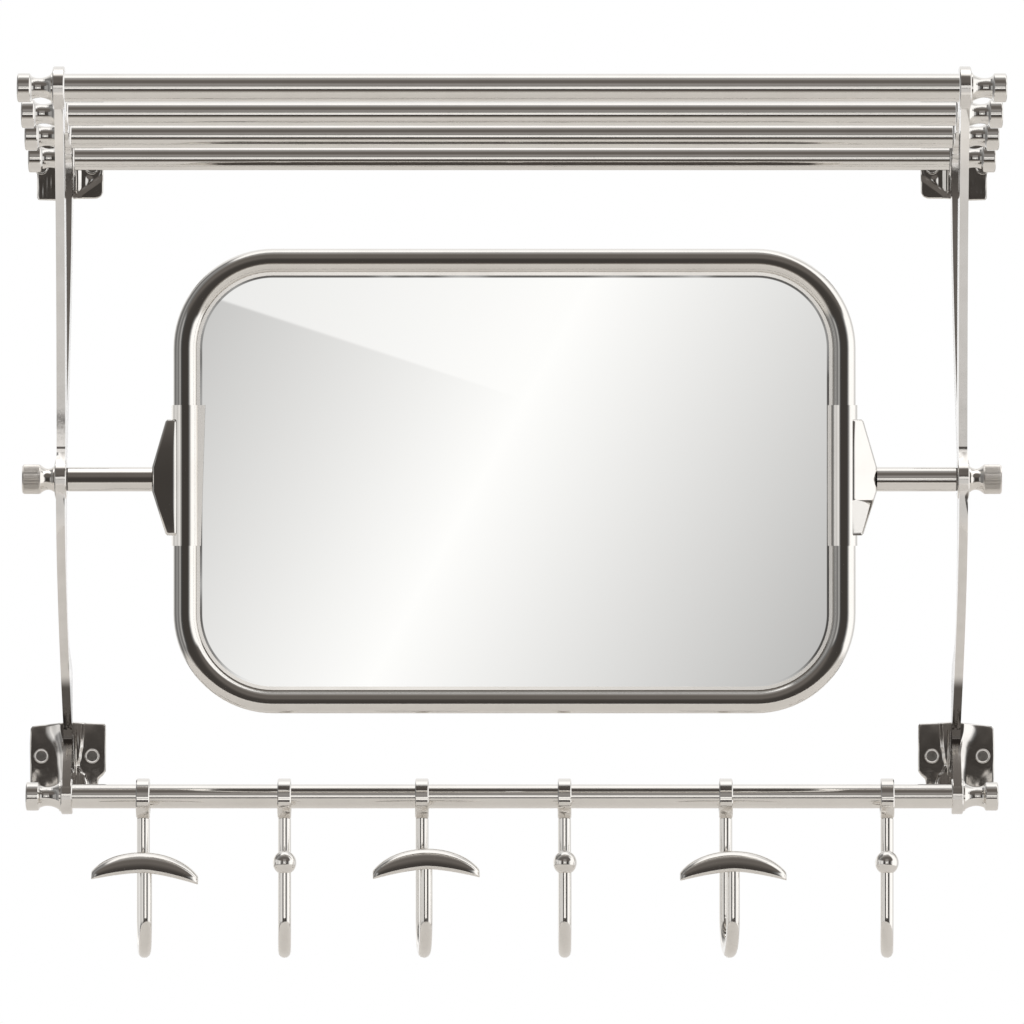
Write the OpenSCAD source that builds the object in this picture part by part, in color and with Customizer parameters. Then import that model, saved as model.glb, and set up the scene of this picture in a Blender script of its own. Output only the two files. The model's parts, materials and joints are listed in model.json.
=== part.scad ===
// Wall rack with a tilting mirror: a shelf of four tubes, a rail of sliding hooks
// and a framed mirror that turns between two cast brackets.
// The wall is the plane Y = 0 and the rack stands out towards -Y. X runs to the right,
// Z runs up, and the origin is the middle of the eight wall screws.

/* [Brackets] */
// Distance between the middle planes of the two brackets
bracket_span = 712; // [560:1:900]
// Thickness of a bracket's blade
blade_t = 6.8; // [5:0.1:9]
// Width of the round eyes, measured along the tubes
eye_w = 9.2; // [7:0.1:14]
// Radius of the front eye of the shelf
front_eye_r = 17; // [15:0.5:20]
// Radius of the other three eyes of the shelf
shelf_eye_r = 15; // [13:0.5:18]
// Radius of the eye that carries the mirror
pivot_eye_r = 16; // [14:0.5:20]
// Radius of the eye that carries the hook rail
rail_eye_r = 14.4; // [12:0.2:17]
// Height of the sloping shelf arm's bar
arm_h = 23; // [18:1:28]
// Width of the front bar, seen from the side
front_bar_w = 28; // [22:1:34]
// Width of the rear bar, seen from the side
rear_bar_w = 25; // [18:1:30]

/* [Wall plates] */
// Width of a wall plate
plate_w = 61.2; // [56:0.2:74]
// Height of a wall plate
plate_h = 54; // [48:1:64]
// Thickness of a wall plate
plate_t = 4.5; // [4:0.5:7]
// How far a plate's middle lies outside the blade's middle
plate_shift = 4; // [0:0.5:6]
// Distance between the two screws of one plate
screw_gap = 41; // [38:1:46]
// Height between the lower and the upper screws
screw_rise = 476; // [440:1:520]

/* [Wall screws] */
// Radius of the thread that goes into the wall
thread_r = 1.9; // [1.6:0.1:2.2]
// Length of the thread behind the plate
thread_l = 32; // [20:1:50]
// Radius of the flat countersunk head
head_r = 4.1; // [3.8:0.1:4.6]
// Radius of the round sink round each head
sink_r = 5.6; // [5.5:0.1:7]

/* [Tubes] */
// Diameter of the hook rail and of the three rear shelf tubes
tube_d = 19.4; // [17:0.1:21]
// Diameter of the front shelf tube
front_tube_d = 22.4; // [20:0.1:25]
// Wall of every tube
tube_wall = 1.2; // [0.8:0.1:2]
// Length of the threaded plug in a tube's end
plug_l = 18; // [16:1:30]

/* [Shelf] */
// Distance from the wall to the axis of the rearmost shelf tube
rear_tube_out = 40; // [34:1:48]
// Height of that axis above the upper screws
rear_tube_up = 5.7; // [0:0.1:10]
// Step from one of the three rear tubes to the next, measured from the wall
tube_pitch = 51; // [42:1:56]
// Step from the third tube to the front tube, measured from the wall
front_pitch = 58; // [48:1:62]
// Slope of the shelf, rising to the front
shelf_slope = 17; // [10:0.5:22]

/* [Finials] */
// Length of a finial outside its eye
finial_l = 28.2; // [25:0.1:34]
// Length of its round cap
cap_l = 10.3; // [7:0.1:11]
// Radius of its round cap
cap_r = 11.5; // [10:0.1:13]
// Radius of the waist between cap and collar
waist_r = 7.7; // [6:0.1:8.5]
// Radius of the collar against the eye
collar_r = 12; // [10.5:0.1:13]
// Radius of the threaded studs of the finials and the knobs
stud_r = 4; // [3:0.5:5]

/* [Hook rail] */
// Distance from the wall to the rail's axis
rail_out = 77; // [70:1:90]
// Depth of the rail's axis below the lower screws
rail_down = 30.2; // [24:0.1:36]

/* [Hooks] */
// Outer radius of the sliding ring
ring_r = 16.2; // [15:0.1:18]
// Radius of the ring's bore
ring_bore_r = 11.6; // [10.9:0.1:12.4]
// Width of the ring
ring_w = 10.8; // [9:0.1:14]
// Diameter of the hook's rod
rod_d = 10.6; // [8:0.1:12]
// Depth of the rod's lowest point below the ring's middle
hook_drop = 126; // [110:1:150]
// Radius of the bend, to the middle of the rod
bend_r = 28; // [22:1:34]
// Depth of the ball's or crescent's middle below the ring's middle
tip_down = 49; // [42:1:60]
// Diameter of the ball
ball_d = 19; // [17:0.5:24]
// Length of the crescent from tip to tip
crest_l = 85; // [70:1:90]
// Height of the crescent at its middle
crest_h = 16.2; // [14:0.1:20]
// Height of the crescent at its cut tips
crest_tip_h = 6.5; // [4:0.5:9]
// Depth of the crescent at its middle
crest_t = 15; // [14:0.5:18]
// How far the top edge of the crescent droops to its tips
crest_droop = 17; // [12:0.5:20]
// How far the crescent's face leans back, as a share of its height
crest_lean = 0.27; // [0:0.01:0.3]

/* [Mirror] */
// Distance from the wall to the axis that the mirror turns on
pivot_out = 168; // [160:1:178]
// Height of that axis, measured from the middle of the wall screws
pivot_z = -14.9; // [-25:0.1:0]
// Width of the mirror over its frame
mirror_w = 539; // [420:1:540]
// Height of the mirror over its frame
mirror_h = 367; // [300:1:380]
// Radius of the outer corners of the frame
corner_r = 79; // [50:1:100]
// Diameter of the frame's tube
frame_d = 19; // [17:0.1:21]
// How far the rim shows between the frame's tube and the glass
rim_show = 2.2; // [1.8:0.1:5]
// Thickness of the glass
glass_t = 4; // [3:0.5:5]
// Thickness of the back panel
panel_t = 1.5; // [1:0.5:3]
// Length of the sleeve on each side of the frame
sleeve_l = 111; // [100:1:130]
// Wall of the sleeve
sleeve_t = 1.4; // [1:0.1:2]
// How far the mirror sits to the right of the middle
mirror_shift = 2; // [0:0.1:4]
// How far the frame's middle hangs below the axis that it turns on
frame_sag = 1.4; // [0:0.1:3]

/* [Mirror pivots] */
// Height of the wing that joins frame and shaft
wing_h = 91.5; // [80:0.5:98]
// How far the wing stands out from the frame's tube
wing_out = 16.5; // [12:0.5:20]
// Diameter of the pivot shaft
shaft_d = 19.4; // [17:0.1:20.5]
// Thickness of the fibre washer between shaft and eye
washer_t = 1; // [0.5:0.1:2]
// Radius of the knob's knurled head
knob_r = 11.6; // [10:0.1:13]
// Length of the knob outside its eye
knob_l = 25.9; // [22:0.1:32]
// Length of the knurled head
knob_head_l = 14.6; // [10:0.1:16]
// Number of ridges round the knurled head
knurls = 60; // [36:4:72]

/* [Hidden] */
$fn = 96;

// The six hooks: place along the rail, turn about the stem and lift of the ball or
// crescent as it came up tight on its thread, and roll of the crescent
hook_places = [-295, -182, -72, 42, 171, 300];
hook_turns = [4.2, 1.5, 3.8, 0, 4.7, -2.5];
tip_lifts = [0, 0, 3, 0, 1.1, 0];
tip_rolls = [3, 0, -0.8, 0, 0, 0];
socket_deep = 4;

// Clearances
slip = 0.05; // radial play of a stud in its plug
play = 0.1; // play of what turns or slides
seat = 0.02; // play of what is pressed or welded in place

// Finish colours
nickel = [0.78, 0.76, 0.73];
chrome = [0.82, 0.82, 0.82];
dark = [0.16, 0.15, 0.14];

// The bracket's key points, as distance from the wall and height
half_rise = screw_rise / 2;
slope = tan(shelf_slope);
shelf_outs = [rear_tube_out + 2 * tube_pitch + front_pitch,
    rear_tube_out + 2 * tube_pitch, rear_tube_out + tube_pitch, rear_tube_out];
function shelf_point(i) =
    [shelf_outs[i], half_rise + rear_tube_up + slope * (shelf_outs[i] - rear_tube_out)];
function shelf_r(i) = (i == 0 ? front_tube_d : tube_d) / 2;
pivot = [pivot_out, pivot_z];
rail = [rail_out, -half_rise - rail_down];

// Places along X
half_span = bracket_span / 2;
eye_out_x = half_span + eye_w / 2;
eye_in_x = half_span - eye_w / 2;
plate_x = half_span + plate_shift;

// The mirror's own sizes, in the plane of its frame
frame_r = frame_d / 2;
path_w = mirror_w - frame_d;
path_h = mirror_h - frame_d;
path_r = corner_r - frame_r;
rim_wall = 1.1;
rim_in = -frame_r - rim_show;
glass_edge = -frame_r - rim_wall;
lip_t = 1.2;
lip_front = -3;
glass_front = lip_front + lip_t;
panel_back = glass_front + glass_t + panel_t;
sleeve_r = frame_r + sleeve_t;
wing_x = mirror_w / 2 + wing_out;
wing_thick = 8.7;
washer_x = eye_in_x - washer_t - play;

// The hooks' own sizes
rod_r = rod_d / 2;
ring_drop = ring_bore_r - tube_d / 2 - play;
bend_z = -hook_drop + rod_r + bend_r;

// Points of a cubic curve from a towards d, with b and c as its handles. The last point
// is left to what follows, so that curves can be strung together.
function curve(a, b, c, d, n = 14) =
    [for (i = [0:n - 1]) let (t = i / n, s = 1 - t)
        s * s * s * a + 3 * s * s * t * b + 3 * s * t * t * c + t * t * t * d];

function unit(v) = v / norm(v);

// A bar of a given width that follows a list of points
function bar(path, w) = let (last = len(path) - 1,
        side = [for (i = [0:last])
            let (v = unit(path[min(i + 1, last)] - path[max(i - 1, 0)])) [-v[1], v[0]] * w / 2])
    concat([for (i = [0:last]) path[i] + side[i]],
        [for (i = [last:-1:0]) path[i] - side[i]]);

// Turns a side view, drawn as distance from the wall and height, to stand in its place
module upright() rotate([90, 0, -90]) children();

// Turns what is made along Z to lie along X
module along_x() rotate([0, 90, 0]) children();

// Moves children to a side-view point p at x
module at(x, p) translate([x, -p[0], p[1]]) children();

// The right-hand copy is the left-hand one mirrored
module on_right() mirror([1, 0, 0]) children();

// ---------------------------------------------------------------- brackets

// The lower strut, from the mirror's eye to the rail's eye and the lower wall plate
function strut() = concat(
    curve(pivot + [15, 0], pivot + [15, -80], rail + [38, 106], rail + [-8, 55]),
    curve(rail + [-8, 55], rail + [-13, 49], rail + [-13, 45], rail + [-9, 40], 8),
    [rail + [-9, 40], rail + [12, 8], rail + [0, -10], [plate_t, -half_rise - plate_h / 2 + 4],
        [plate_t, -half_rise + plate_h / 2 - 6]],
    curve([22, -half_rise + plate_h / 2 - 6], rail + [-23, 53], rail + [-22, 58],
        rail + [-22, 76], 6),
    curve(rail + [-22, 88], rail + [-22, 100], rail + [-14, 106], rail + [2, 110], 6),
    curve(rail + [2, 110], rail + [58, 130], pivot + [-20, -100], pivot + [-24.5, 0]),
    [pivot + [-24.5, 0]]);

// One flat web of the blade, from its side view
module web() upright() linear_extrude(blade_t, center = true) children();

module blade() {
    top = shelf_point(0);
    rear = shelf_point(3);
    foot = pivot - [11, 0];
    // sloping arm through the four shelf eyes
    web() polygon(bar([rear, top], arm_h));
    // front bar, bowed from the front eye down to the mirror's eye
    web() polygon(bar(concat(curve(top, [pivot[0] - 8, top[1] - 103],
        [pivot[0] - 8, pivot[1] + 105], foot, 24), [foot]), front_bar_w));
    // the cast slope that runs out from this bar onto the mirror's eye
    web() polygon([foot + [front_bar_w / 2, 22], pivot + pivot_eye_r * [cos(33), sin(33)],
        pivot, foot + [0, 22]]);
    // rear bar, from the rearmost eye to the mirror's eye
    web() polygon(bar(concat(curve(rear + [12, 4], rear + [12, -70],
        [pivot[0] - 68, pivot[1] + 90], pivot, 24), [pivot]), rear_bar_w));
    web() polygon(strut());
    // stem from the upper wall plate to the rearmost eye
    web() translate([plate_t, half_rise - plate_h / 2 + 4])
        square([rear_tube_out + 12 - plate_t, plate_h - 10]);
}

// Outlines of the hand-trimmed plates about the blade, as shares of their width and height
LOWER_PLATE = [[-0.515, -0.5], [0.32, -0.5], [0.345, -0.47], [0.355, -0.345],
    [0.415, -0.285], [0.45, -0.225], [0.45, 0.455], [0.435, 0.48], [0.2, 0.49], [-0.015, 0.51],
    [-0.26, 0.48], [-0.515, 0.445], [-0.54, 0.41], [-0.55, 0.19], [-0.545, -0.465]];
UPPER_PLATE = [[-0.44, -0.49], [-0.13, -0.5], [0.065, -0.47], [0.33, -0.47], [0.385, -0.44],
    [0.415, -0.38], [0.42, 0.45], [0.4, 0.5], [-0.42, 0.5], [-0.45, 0.47], [-0.455, -0.46]];

// A wall plate, and the cast fillets that run out into the stem
module wall_plate(z, outline) {
    h = plate_h / 2;
    translate([0, 0, z]) rotate([90, 0, 0]) linear_extrude(plate_t)
        polygon([for (p = outline) [p[0] * plate_w, p[1] * plate_h]]);
    // the outer fillet is wide, the inner one narrow
    translate([0, 0, z - h + 4]) linear_extrude(plate_h - 10)
        for (inner = [0, 1]) let (r = inner == 1 ? 5 : 9) mirror([1 - inner, 0])
            translate([0, -plate_t - r]) difference() {
                square([blade_t / 2 + r, r + 0.5]);
                translate([blade_t / 2 + r, 0]) circle(r = r);
            }
}

// Hole for one wall screw: clearance, countersink and round sink, open to the front
module screw_hole() rotate([90, 0, 0]) {
    neck = head_r - thread_r;
    translate([0, 0, -1]) cylinder(r = thread_r + 0.5, h = plate_t + 2);
    translate([0, 0, plate_t - 0.8 - neck]) cylinder(r1 = thread_r + 0.3, r2 = head_r + 0.3,
        h = neck);
    translate([0, 0, plate_t - 0.8]) cylinder(r = sink_r, h = 20);
}

// The left bracket about its own middle plane, with the plates to its outside
module bracket_casting() {
    difference() {
        union() {
            blade();
            for (i = [0:3]) eye(shelf_point(i), i == 0 ? front_eye_r : shelf_eye_r);
            eye(pivot, pivot_eye_r);
            eye(rail, rail_eye_r);
            wall_plate(-half_rise, LOWER_PLATE);
            wall_plate(half_rise, UPPER_PLATE);
        }
        for (i = [0:3]) eye_hole(shelf_point(i));
        eye_hole(pivot);
        eye_hole(rail);
        for (z = [-half_rise, half_rise], side = [-1, 1])
            translate([-plate_shift + side * screw_gap / 2, 0, z]) screw_hole();
    }
}

// An eye's boss: a short drum with its rims eased
module eye(p, r) {
    ease = 0.8;
    at(-eye_w / 2, p) along_x() rotate_extrude()
        polygon([[0, 0], [r - ease, 0], [r, ease], [r, eye_w - ease], [r - ease, eye_w],
            [0, eye_w]]);
}

module eye_hole(p) at(-eye_w, p) along_x() cylinder(r = stud_r + play, h = 2 * eye_w);

module left_bracket() color(nickel) translate([-half_span, 0, 0]) bracket_casting();

module right_bracket() color(nickel) on_right() translate([-half_span, 0, 0])
    bracket_casting();

// ---------------------------------------------------------------- wall screws

// One screw, from its head in the plate to its point in the wall
module wall_screw() {
    shank_r = thread_r + 0.2;
    neck = head_r - shank_r;
    point_l = 6;
    slot = 1.1;
    top = plate_t - 0.8;
    rotate([90, 0, 0]) difference() {
        union() {
            translate([0, 0, top - neck]) cylinder(r1 = shank_r, r2 = head_r, h = neck);
            cylinder(r = shank_r, h = top - neck);
            translate([0, 0, -thread_l + point_l])
                cylinder(r = thread_r, h = thread_l - point_l);
            translate([0, 0, -thread_l]) cylinder(r1 = 0.4, r2 = thread_r, h = point_l);
        }
        for (turn = [45, 135]) rotate([0, 0, turn])
            translate([-head_r * 0.62, -slot / 2, top - 1.4])
                cube([head_r * 1.24, slot, 2]);
    }
}

module wall_screws() color(chrome)
    for (x = [-plate_x, plate_x], side = [-1, 1], z = [-half_rise, half_rise])
        translate([x + side * screw_gap / 2, 0, z]) wall_screw();

// ---------------------------------------------------------------- shelf and rail

// A plain tube between the inner faces of the two brackets' eyes
module cross_tube(p, r) color(nickel) at(-eye_in_x, p) along_x() difference() {
    cylinder(r = r, h = 2 * eye_in_x);
    translate([0, 0, -1]) cylinder(r = r - tube_wall, h = 2 * eye_in_x + 2);
}

// The pair of threaded plugs that close a tube's ends
module tube_plugs(p, r) color(chrome)
    for (x = [-eye_in_x, eye_in_x - plug_l]) at(x, p) along_x() difference() {
        cylinder(r = r - tube_wall - seat, h = plug_l);
        translate([0, 0, -1]) cylinder(r = stud_r + slip, h = plug_l + 2);
    }

// A finial: round cap, hollow-curved neck, collar, and the stud through the eye
module finial() {
    collar_l = 1.4;
    round_r = 1.6;
    neck_l = finial_l - cap_l - collar_l;
    neck_out_r = cap_r - 1.6;
    outline = concat([[0, -eye_w - plug_l + 3], [stud_r, -eye_w - plug_l + 3], [stud_r, 0],
            [collar_r, 0], [collar_r, collar_l]],
        curve([collar_r - 0.8, collar_l], [waist_r, collar_l + neck_l * 0.25],
            [waist_r - 1.6, collar_l + neck_l * 0.7], [neck_out_r, collar_l + neck_l], 12),
        [[cap_r - 0.5, collar_l + neck_l], [cap_r, collar_l + neck_l + 0.6]],
        [for (a = [0:15:90]) [cap_r - round_r + round_r * cos(a),
            finial_l - round_r * 0.9 + round_r * 0.9 * sin(a)]],
        [[0, finial_l]]);
    along_x() rotate_extrude() polygon(outline);
}

module right_finial(p) color(nickel) at(eye_out_x, p) finial();

module left_finial(p) on_right() right_finial(p);

// ---------------------------------------------------------------- mirror

// Stands a plan of the mirror upright: x stays, y becomes height, depth runs to the back
module in_mirror() translate([mirror_shift, -pivot_out, pivot_z]) rotate([90, 0, 0])
    mirror([0, 0, 1]) children();

// The same for the frame and the glass, whose middle hangs a little below the axis
module in_frame() translate([0, 0, -frame_sag]) in_mirror() children();

// Sweeps a profile round the frame's path. The profile's x is measured outwards from the
// path, its y towards the wall. Only the upper half is made, down to the joint at z = 0.
module half_frame_sweep() {
    side_l = path_h / 2 - path_r;
    top_l = path_w / 2 - path_r;
    for (side = [0, 1]) mirror([side, 0, 0]) {
        translate([top_l, side_l, 0]) rotate_extrude(angle = 90)
            translate([path_r, 0]) children();
        translate([path_w / 2, side_l, 0]) rotate([90, 0, 0])
            linear_extrude(side_l) children();
    }
    translate([-top_l, path_h / 2, 0]) rotate([90, 0, 90]) linear_extrude(2 * top_l)
        children();
}

module tube_profile() difference() {
    circle(r = frame_r);
    circle(r = frame_r - tube_wall);
}

module upper_frame_tube() color(nickel) in_frame() half_frame_sweep() tube_profile();

module lower_frame_tube() color(nickel) in_frame() mirror([0, 1, 0]) half_frame_sweep()
    tube_profile();

// The rim that is welded inside the frame: a lip in front of the glass and a side wall
module rim_profile() difference() {
    translate([rim_in, lip_front]) square([frame_r, panel_back - lip_front]);
    translate([rim_in - 1, glass_front]) square([glass_edge - rim_in + 1, 20]);
    circle(r = frame_r + seat);
    translate([-frame_r + 2.4, -20]) square([30, 40]);
}

module glass_rim() color(chrome) in_frame() for (low = [0, 1]) mirror([0, low, 0])
    half_frame_sweep() rim_profile();

// A flat panel that fills the rim, from one depth to another
module panel(y0, y1, inset) {
    r = path_r + glass_edge - inset;
    x = path_w / 2 + glass_edge - inset;
    y = path_h / 2 + glass_edge - inset;
    translate([0, 0, y0]) linear_extrude(y1 - y0) {
        square([2 * (x - r), 2 * y], center = true);
        square([2 * x, 2 * (y - r)], center = true);
        for (sx = [-1, 1], sy = [-1, 1]) translate([sx * (x - r), sy * (y - r)])
            circle(r = r);
    }
}

module mirror_glass() color([0.85, 0.88, 0.9]) in_frame()
    panel(glass_front, glass_front + glass_t, play);

module back_panel() color(dark) in_frame()
    panel(glass_front + glass_t, panel_back, play);

// Sprung tabs that hold the back panel in the rim, three along the top and the bottom
module back_clips() color(chrome) in_frame() for (low = [0, 1]) mirror([0, low, 0])
    for (x = [-1, 0, 1] * (path_w / 2 - path_r))
        translate([x - 7, path_h / 2 + glass_edge - 12, panel_back]) cube([14, 13, 0.8]);

// The sleeve that joins the two halves of the frame, slit where the rim comes through.
// Its front edge runs out as a thin lip over the rim and onto the glass, by one amount
// at the top and another at the bottom.
module sleeve(lip_top, lip_low) color(nickel) in_mirror() {
    rise = 3;
    low = rise - sleeve_l / 2;
    top = rise + sleeve_l / 2;
    lip_depth = lip_front - play - 1.2;
    translate([path_w / 2, rise, 0]) rotate([90, 0, 0]) difference() {
        cylinder(r = sleeve_r, h = sleeve_l, center = true);
        cylinder(r = frame_r + seat, h = sleeve_l + 2, center = true);
        translate([-sleeve_r - 1, lip_front - play, -sleeve_l])
            cube([sleeve_r - frame_r + 5, panel_back - lip_front + 2 * play, 2 * sleeve_l]);
    }
    difference() {
        translate([path_w / 2, 0, lip_depth]) linear_extrude(1.2)
            polygon([[-frame_r, low], [rim_in - lip_low, low], [rim_in - lip_top, top],
                [-frame_r, top]]);
        translate([path_w / 2, top + 1, 0]) rotate([90, 0, 0])
            cylinder(r = frame_r + seat, h = sleeve_l + 2);
    }
}

module right_sleeve() sleeve(1.2, 1.2);

// The left sleeve's lip is wider, and narrows downwards
module left_sleeve() translate([2 * mirror_shift, 0, 0]) on_right() sleeve(4.2, 0.8);

// The wing between sleeve and shaft: a flat triangle with cut ends
module right_wing() color(nickel) in_mirror() difference() {
    rise = 1.4;
    tip_x = mirror_w / 2 + 6;
    flat = shaft_d / 2;
    h = wing_h / 2;
    translate([0, 0, -wing_thick]) linear_extrude(2 * wing_thick)
        polygon([[path_w / 2, rise - h], [tip_x - 1.5, rise - h], [tip_x, rise - h + 1.5],
            [wing_x, -flat], [wing_x, flat], [tip_x, rise + h - 1.5],
            [tip_x - 1.5, rise + h], [path_w / 2, rise + h]]);
    translate([path_w / 2, 0, 0]) rotate([90, 0, 0])
        cylinder(r = sleeve_r + seat, h = 2 * wing_h, center = true);
}

module left_wing() translate([2 * mirror_shift, 0, 0]) on_right() right_wing();

// Hollow shaft from the wing, at x, to the washer at the eye
module shaft(x) color(nickel) at(x, pivot) along_x() difference() {
    cylinder(r = shaft_d / 2, h = washer_x - x);
    translate([0, 0, -1]) cylinder(r = shaft_d / 2 - tube_wall, h = bracket_span);
}

module right_shaft() shaft(wing_x + mirror_shift);

module left_shaft() on_right() shaft(wing_x - mirror_shift);

module shaft_plugs() color(chrome) for (side = [0, 1]) mirror([side, 0, 0])
    at(washer_x - plug_l, pivot) along_x() difference() {
        cylinder(r = shaft_d / 2 - tube_wall - seat, h = plug_l);
        translate([0, 0, -1]) cylinder(r = stud_r + slip, h = plug_l + 2);
    }

module pivot_washers() color(dark) for (side = [0, 1]) mirror([side, 0, 0])
    at(washer_x, pivot) along_x() difference() {
        cylinder(r = shaft_d / 2 - 0.6, h = washer_t);
        translate([0, 0, -1]) cylinder(r = stud_r + slip, h = washer_t + 2);
    }

// A clamping knob: knurled head, hollow-curved neck, and the stud through the eye
module right_knob() {
    neck_l = knob_l - knob_head_l;
    foot_r = knob_r - 1.4;
    ridge = 0.3;
    ease = 0.7;
    outline = concat([[0, -eye_w - plug_l + 3], [stud_r, -eye_w - plug_l + 3],
            [stud_r, play], [foot_r, play]],
        curve([foot_r, 1.2], [foot_r - 2.6, neck_l * 0.35], [foot_r - 2.6, neck_l * 0.65],
            [knob_r - ridge, neck_l], 10),
        [[knob_r - ridge, knob_l - ease], [knob_r - ridge - ease, knob_l], [0, knob_l]]);
    color(nickel) at(eye_out_x, pivot) along_x() {
        rotate_extrude() polygon(outline);
        // the straight knurl, as a star with one point for each ridge
        translate([0, 0, neck_l + 0.4]) linear_extrude(knob_head_l - ease - 0.8)
            polygon([for (i = [0:2 * knurls - 1]) let (a = i * 180 / knurls)
                (knob_r - (i % 2) * ridge) * [cos(a), sin(a)]]);
    }
}

module left_knob() on_right() right_knob();

// ---------------------------------------------------------------- hooks

// Moves what is made about a ring's middle to hook number i
module at_hook(i) translate([hook_places[i - 1], -rail[0], rail[1] - ring_drop]) children();

// The loose ring that hangs on the rail
module ring(i) {
    w = ring_w / 2;
    ease = 0.8;
    color(nickel) at_hook(i) along_x() rotate_extrude()
        polygon([[ring_bore_r, -w + ease], [ring_bore_r + ease, -w], [ring_r - ease, -w],
            [ring_r, -w + ease], [ring_r, w - ease], [ring_r - ease, w],
            [ring_bore_r + ease, w], [ring_bore_r, w - ease]]);
}

// The J-shaped rod, cut to the ring at its top, that ends inside its ball or crescent
module hook_rod(i, foot_z) {
    color(nickel) at_hook(i) difference() {
        rotate([0, 0, hook_turns[i - 1]]) {
            translate([0, 0, bend_z]) cylinder(r = rod_r, h = -bend_z - ring_r + rod_r);
            upright() translate([bend_r, bend_z]) rotate([0, 0, 180])
                rotate_extrude(angle = 180) translate([bend_r, 0]) circle(r = rod_r);
            translate([0, -2 * bend_r, bend_z]) cylinder(r = rod_r, h = foot_z - bend_z);
        }
        along_x() cylinder(r = ring_r + play, h = 4 * rod_d, center = true);
    }
}

// Moves children to the rod's end, at the height of the ball's or crescent's middle
module at_tip(i) at_hook(i) rotate([0, 0, hook_turns[i - 1]])
    translate([0, -2 * bend_r, tip_z(i)]) children();

function tip_z(i) = -tip_down + tip_lifts[i - 1];

// Height of the rod's end, measured from the middle of the ball or of the crescent
ball_foot = -sqrt(pow(ball_d / 2, 2) - rod_r * rod_r) + socket_deep;
crest_foot = -crest_h / 2 + socket_deep + 1;

// Socket that the rod's end fills
module socket(foot) translate([0, 0, foot - 2 * ball_d])
    cylinder(r = rod_r + seat, h = 2 * ball_d);

module ball(i) color(nickel) at_tip(i) difference() {
    sphere(d = ball_d);
    socket(ball_foot);
}

// Upright sections of the crescent along its length, each a ring of points: round above,
// squarer below, and leaning back. The last one at each end is smaller, which eases the
// cut tip.
crest_steps = 12;
crest_sides = 16;
tip_extra = crest_droop + crest_tip_h - crest_h;
function arch(u) = 1 - sqrt(1 - pow(0.9 * u, 2));
function crest_ring(k) = let (last = abs(k) == crest_steps,
        u = last ? 1 : 0.985 * abs(k) / (crest_steps - 1),
        up = crest_h / 2 - crest_droop * arch(u) / arch(1),
        low = -crest_h / 2 - tip_extra * pow(u, 1.5),
        h = (up - low) / 2 * (last ? 0.8 : 1),
        t = crest_t / 2 * (0.3 + 0.7 * sqrt(max(0, 1 - pow(u, 4)))) * (last ? 0.8 : 1))
    [for (s = [0:crest_sides - 1]) let (turn = s * 360 / crest_sides, c = cos(turn),
            lift = sin(turn) * h, squarer = lift < 0 ? 0.2 : 1)
        [sign(k) * u * crest_l / 2, sign(c) * pow(abs(c), squarer) * t + crest_lean * lift,
            (up + low) / 2 + lift]];

module crescent_body() {
    n = crest_sides;
    rings = 2 * crest_steps + 1;
    polyhedron(
        points = [for (k = [-crest_steps:crest_steps]) each crest_ring(k)],
        faces = concat(
            [[for (s = [0:n - 1]) s]],
            [for (k = [0:rings - 2], s = [0:n - 1]) let (b = (s + 1) % n)
                [k * n + s, (k + 1) * n + s, (k + 1) * n + b, k * n + b]],
            [[for (s = [n - 1:-1:0]) (rings - 1) * n + s]]));
}

module crescent(i) color(nickel) at_tip(i) difference() {
    rotate([0, tip_rolls[i - 1], 0]) crescent_body();
    socket(crest_foot);
}

// ---------------------------------------------------------------- the nodes

left_bracket();
right_bracket();
wall_screws();
cross_tube(shelf_point(0), shelf_r(0));  // shelf_tube_1
cross_tube(shelf_point(1), shelf_r(1));  // shelf_tube_2
cross_tube(shelf_point(2), shelf_r(2));  // shelf_tube_3
cross_tube(shelf_point(3), shelf_r(3));  // shelf_tube_4
cross_tube(rail, tube_d / 2);  // hook_rail
tube_plugs(shelf_point(0), shelf_r(0));  // shelf_plugs_1
tube_plugs(shelf_point(1), shelf_r(1));  // shelf_plugs_2
tube_plugs(shelf_point(2), shelf_r(2));  // shelf_plugs_3
tube_plugs(shelf_point(3), shelf_r(3));  // shelf_plugs_4
tube_plugs(rail, tube_d / 2);  // rail_plugs
left_finial(shelf_point(0));  // left_finial_1
left_finial(shelf_point(1));  // left_finial_2
left_finial(shelf_point(2));  // left_finial_3
left_finial(shelf_point(3));  // left_finial_4
left_finial(rail);  // left_rail_finial
right_finial(shelf_point(0));  // right_finial_1
right_finial(shelf_point(1));  // right_finial_2
right_finial(shelf_point(2));  // right_finial_3
right_finial(shelf_point(3));  // right_finial_4
right_finial(rail);  // right_rail_finial
upper_frame_tube();
lower_frame_tube();
glass_rim();
mirror_glass();
back_panel();
back_clips();
left_sleeve();
right_sleeve();
left_wing();
right_wing();
left_shaft();
right_shaft();
shaft_plugs();
pivot_washers();
left_knob();
right_knob();
ring(1);  // ring_1
ring(2);  // ring_2
ring(3);  // ring_3
ring(4);  // ring_4
ring(5);  // ring_5
ring(6);  // ring_6
hook_rod(1, tip_z(1) + crest_foot);  // hook_rod_1
hook_rod(2, tip_z(2) + ball_foot);  // hook_rod_2
hook_rod(3, tip_z(3) + crest_foot);  // hook_rod_3
hook_rod(4, tip_z(4) + ball_foot);  // hook_rod_4
hook_rod(5, tip_z(5) + crest_foot);  // hook_rod_5
hook_rod(6, tip_z(6) + ball_foot);  // hook_rod_6
crescent(1);  // crescent_1
ball(2);  // ball_2
crescent(3);  // crescent_3
ball(4);  // ball_4
crescent(5);  // crescent_5
ball(6);  // ball_6
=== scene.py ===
"""Looks of the wall rack with a tilting mirror and sliding hooks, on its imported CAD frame.

The wall is the plane Y = 0, the rack stands out towards -Y, X runs to the right and Z up.
"""

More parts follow.
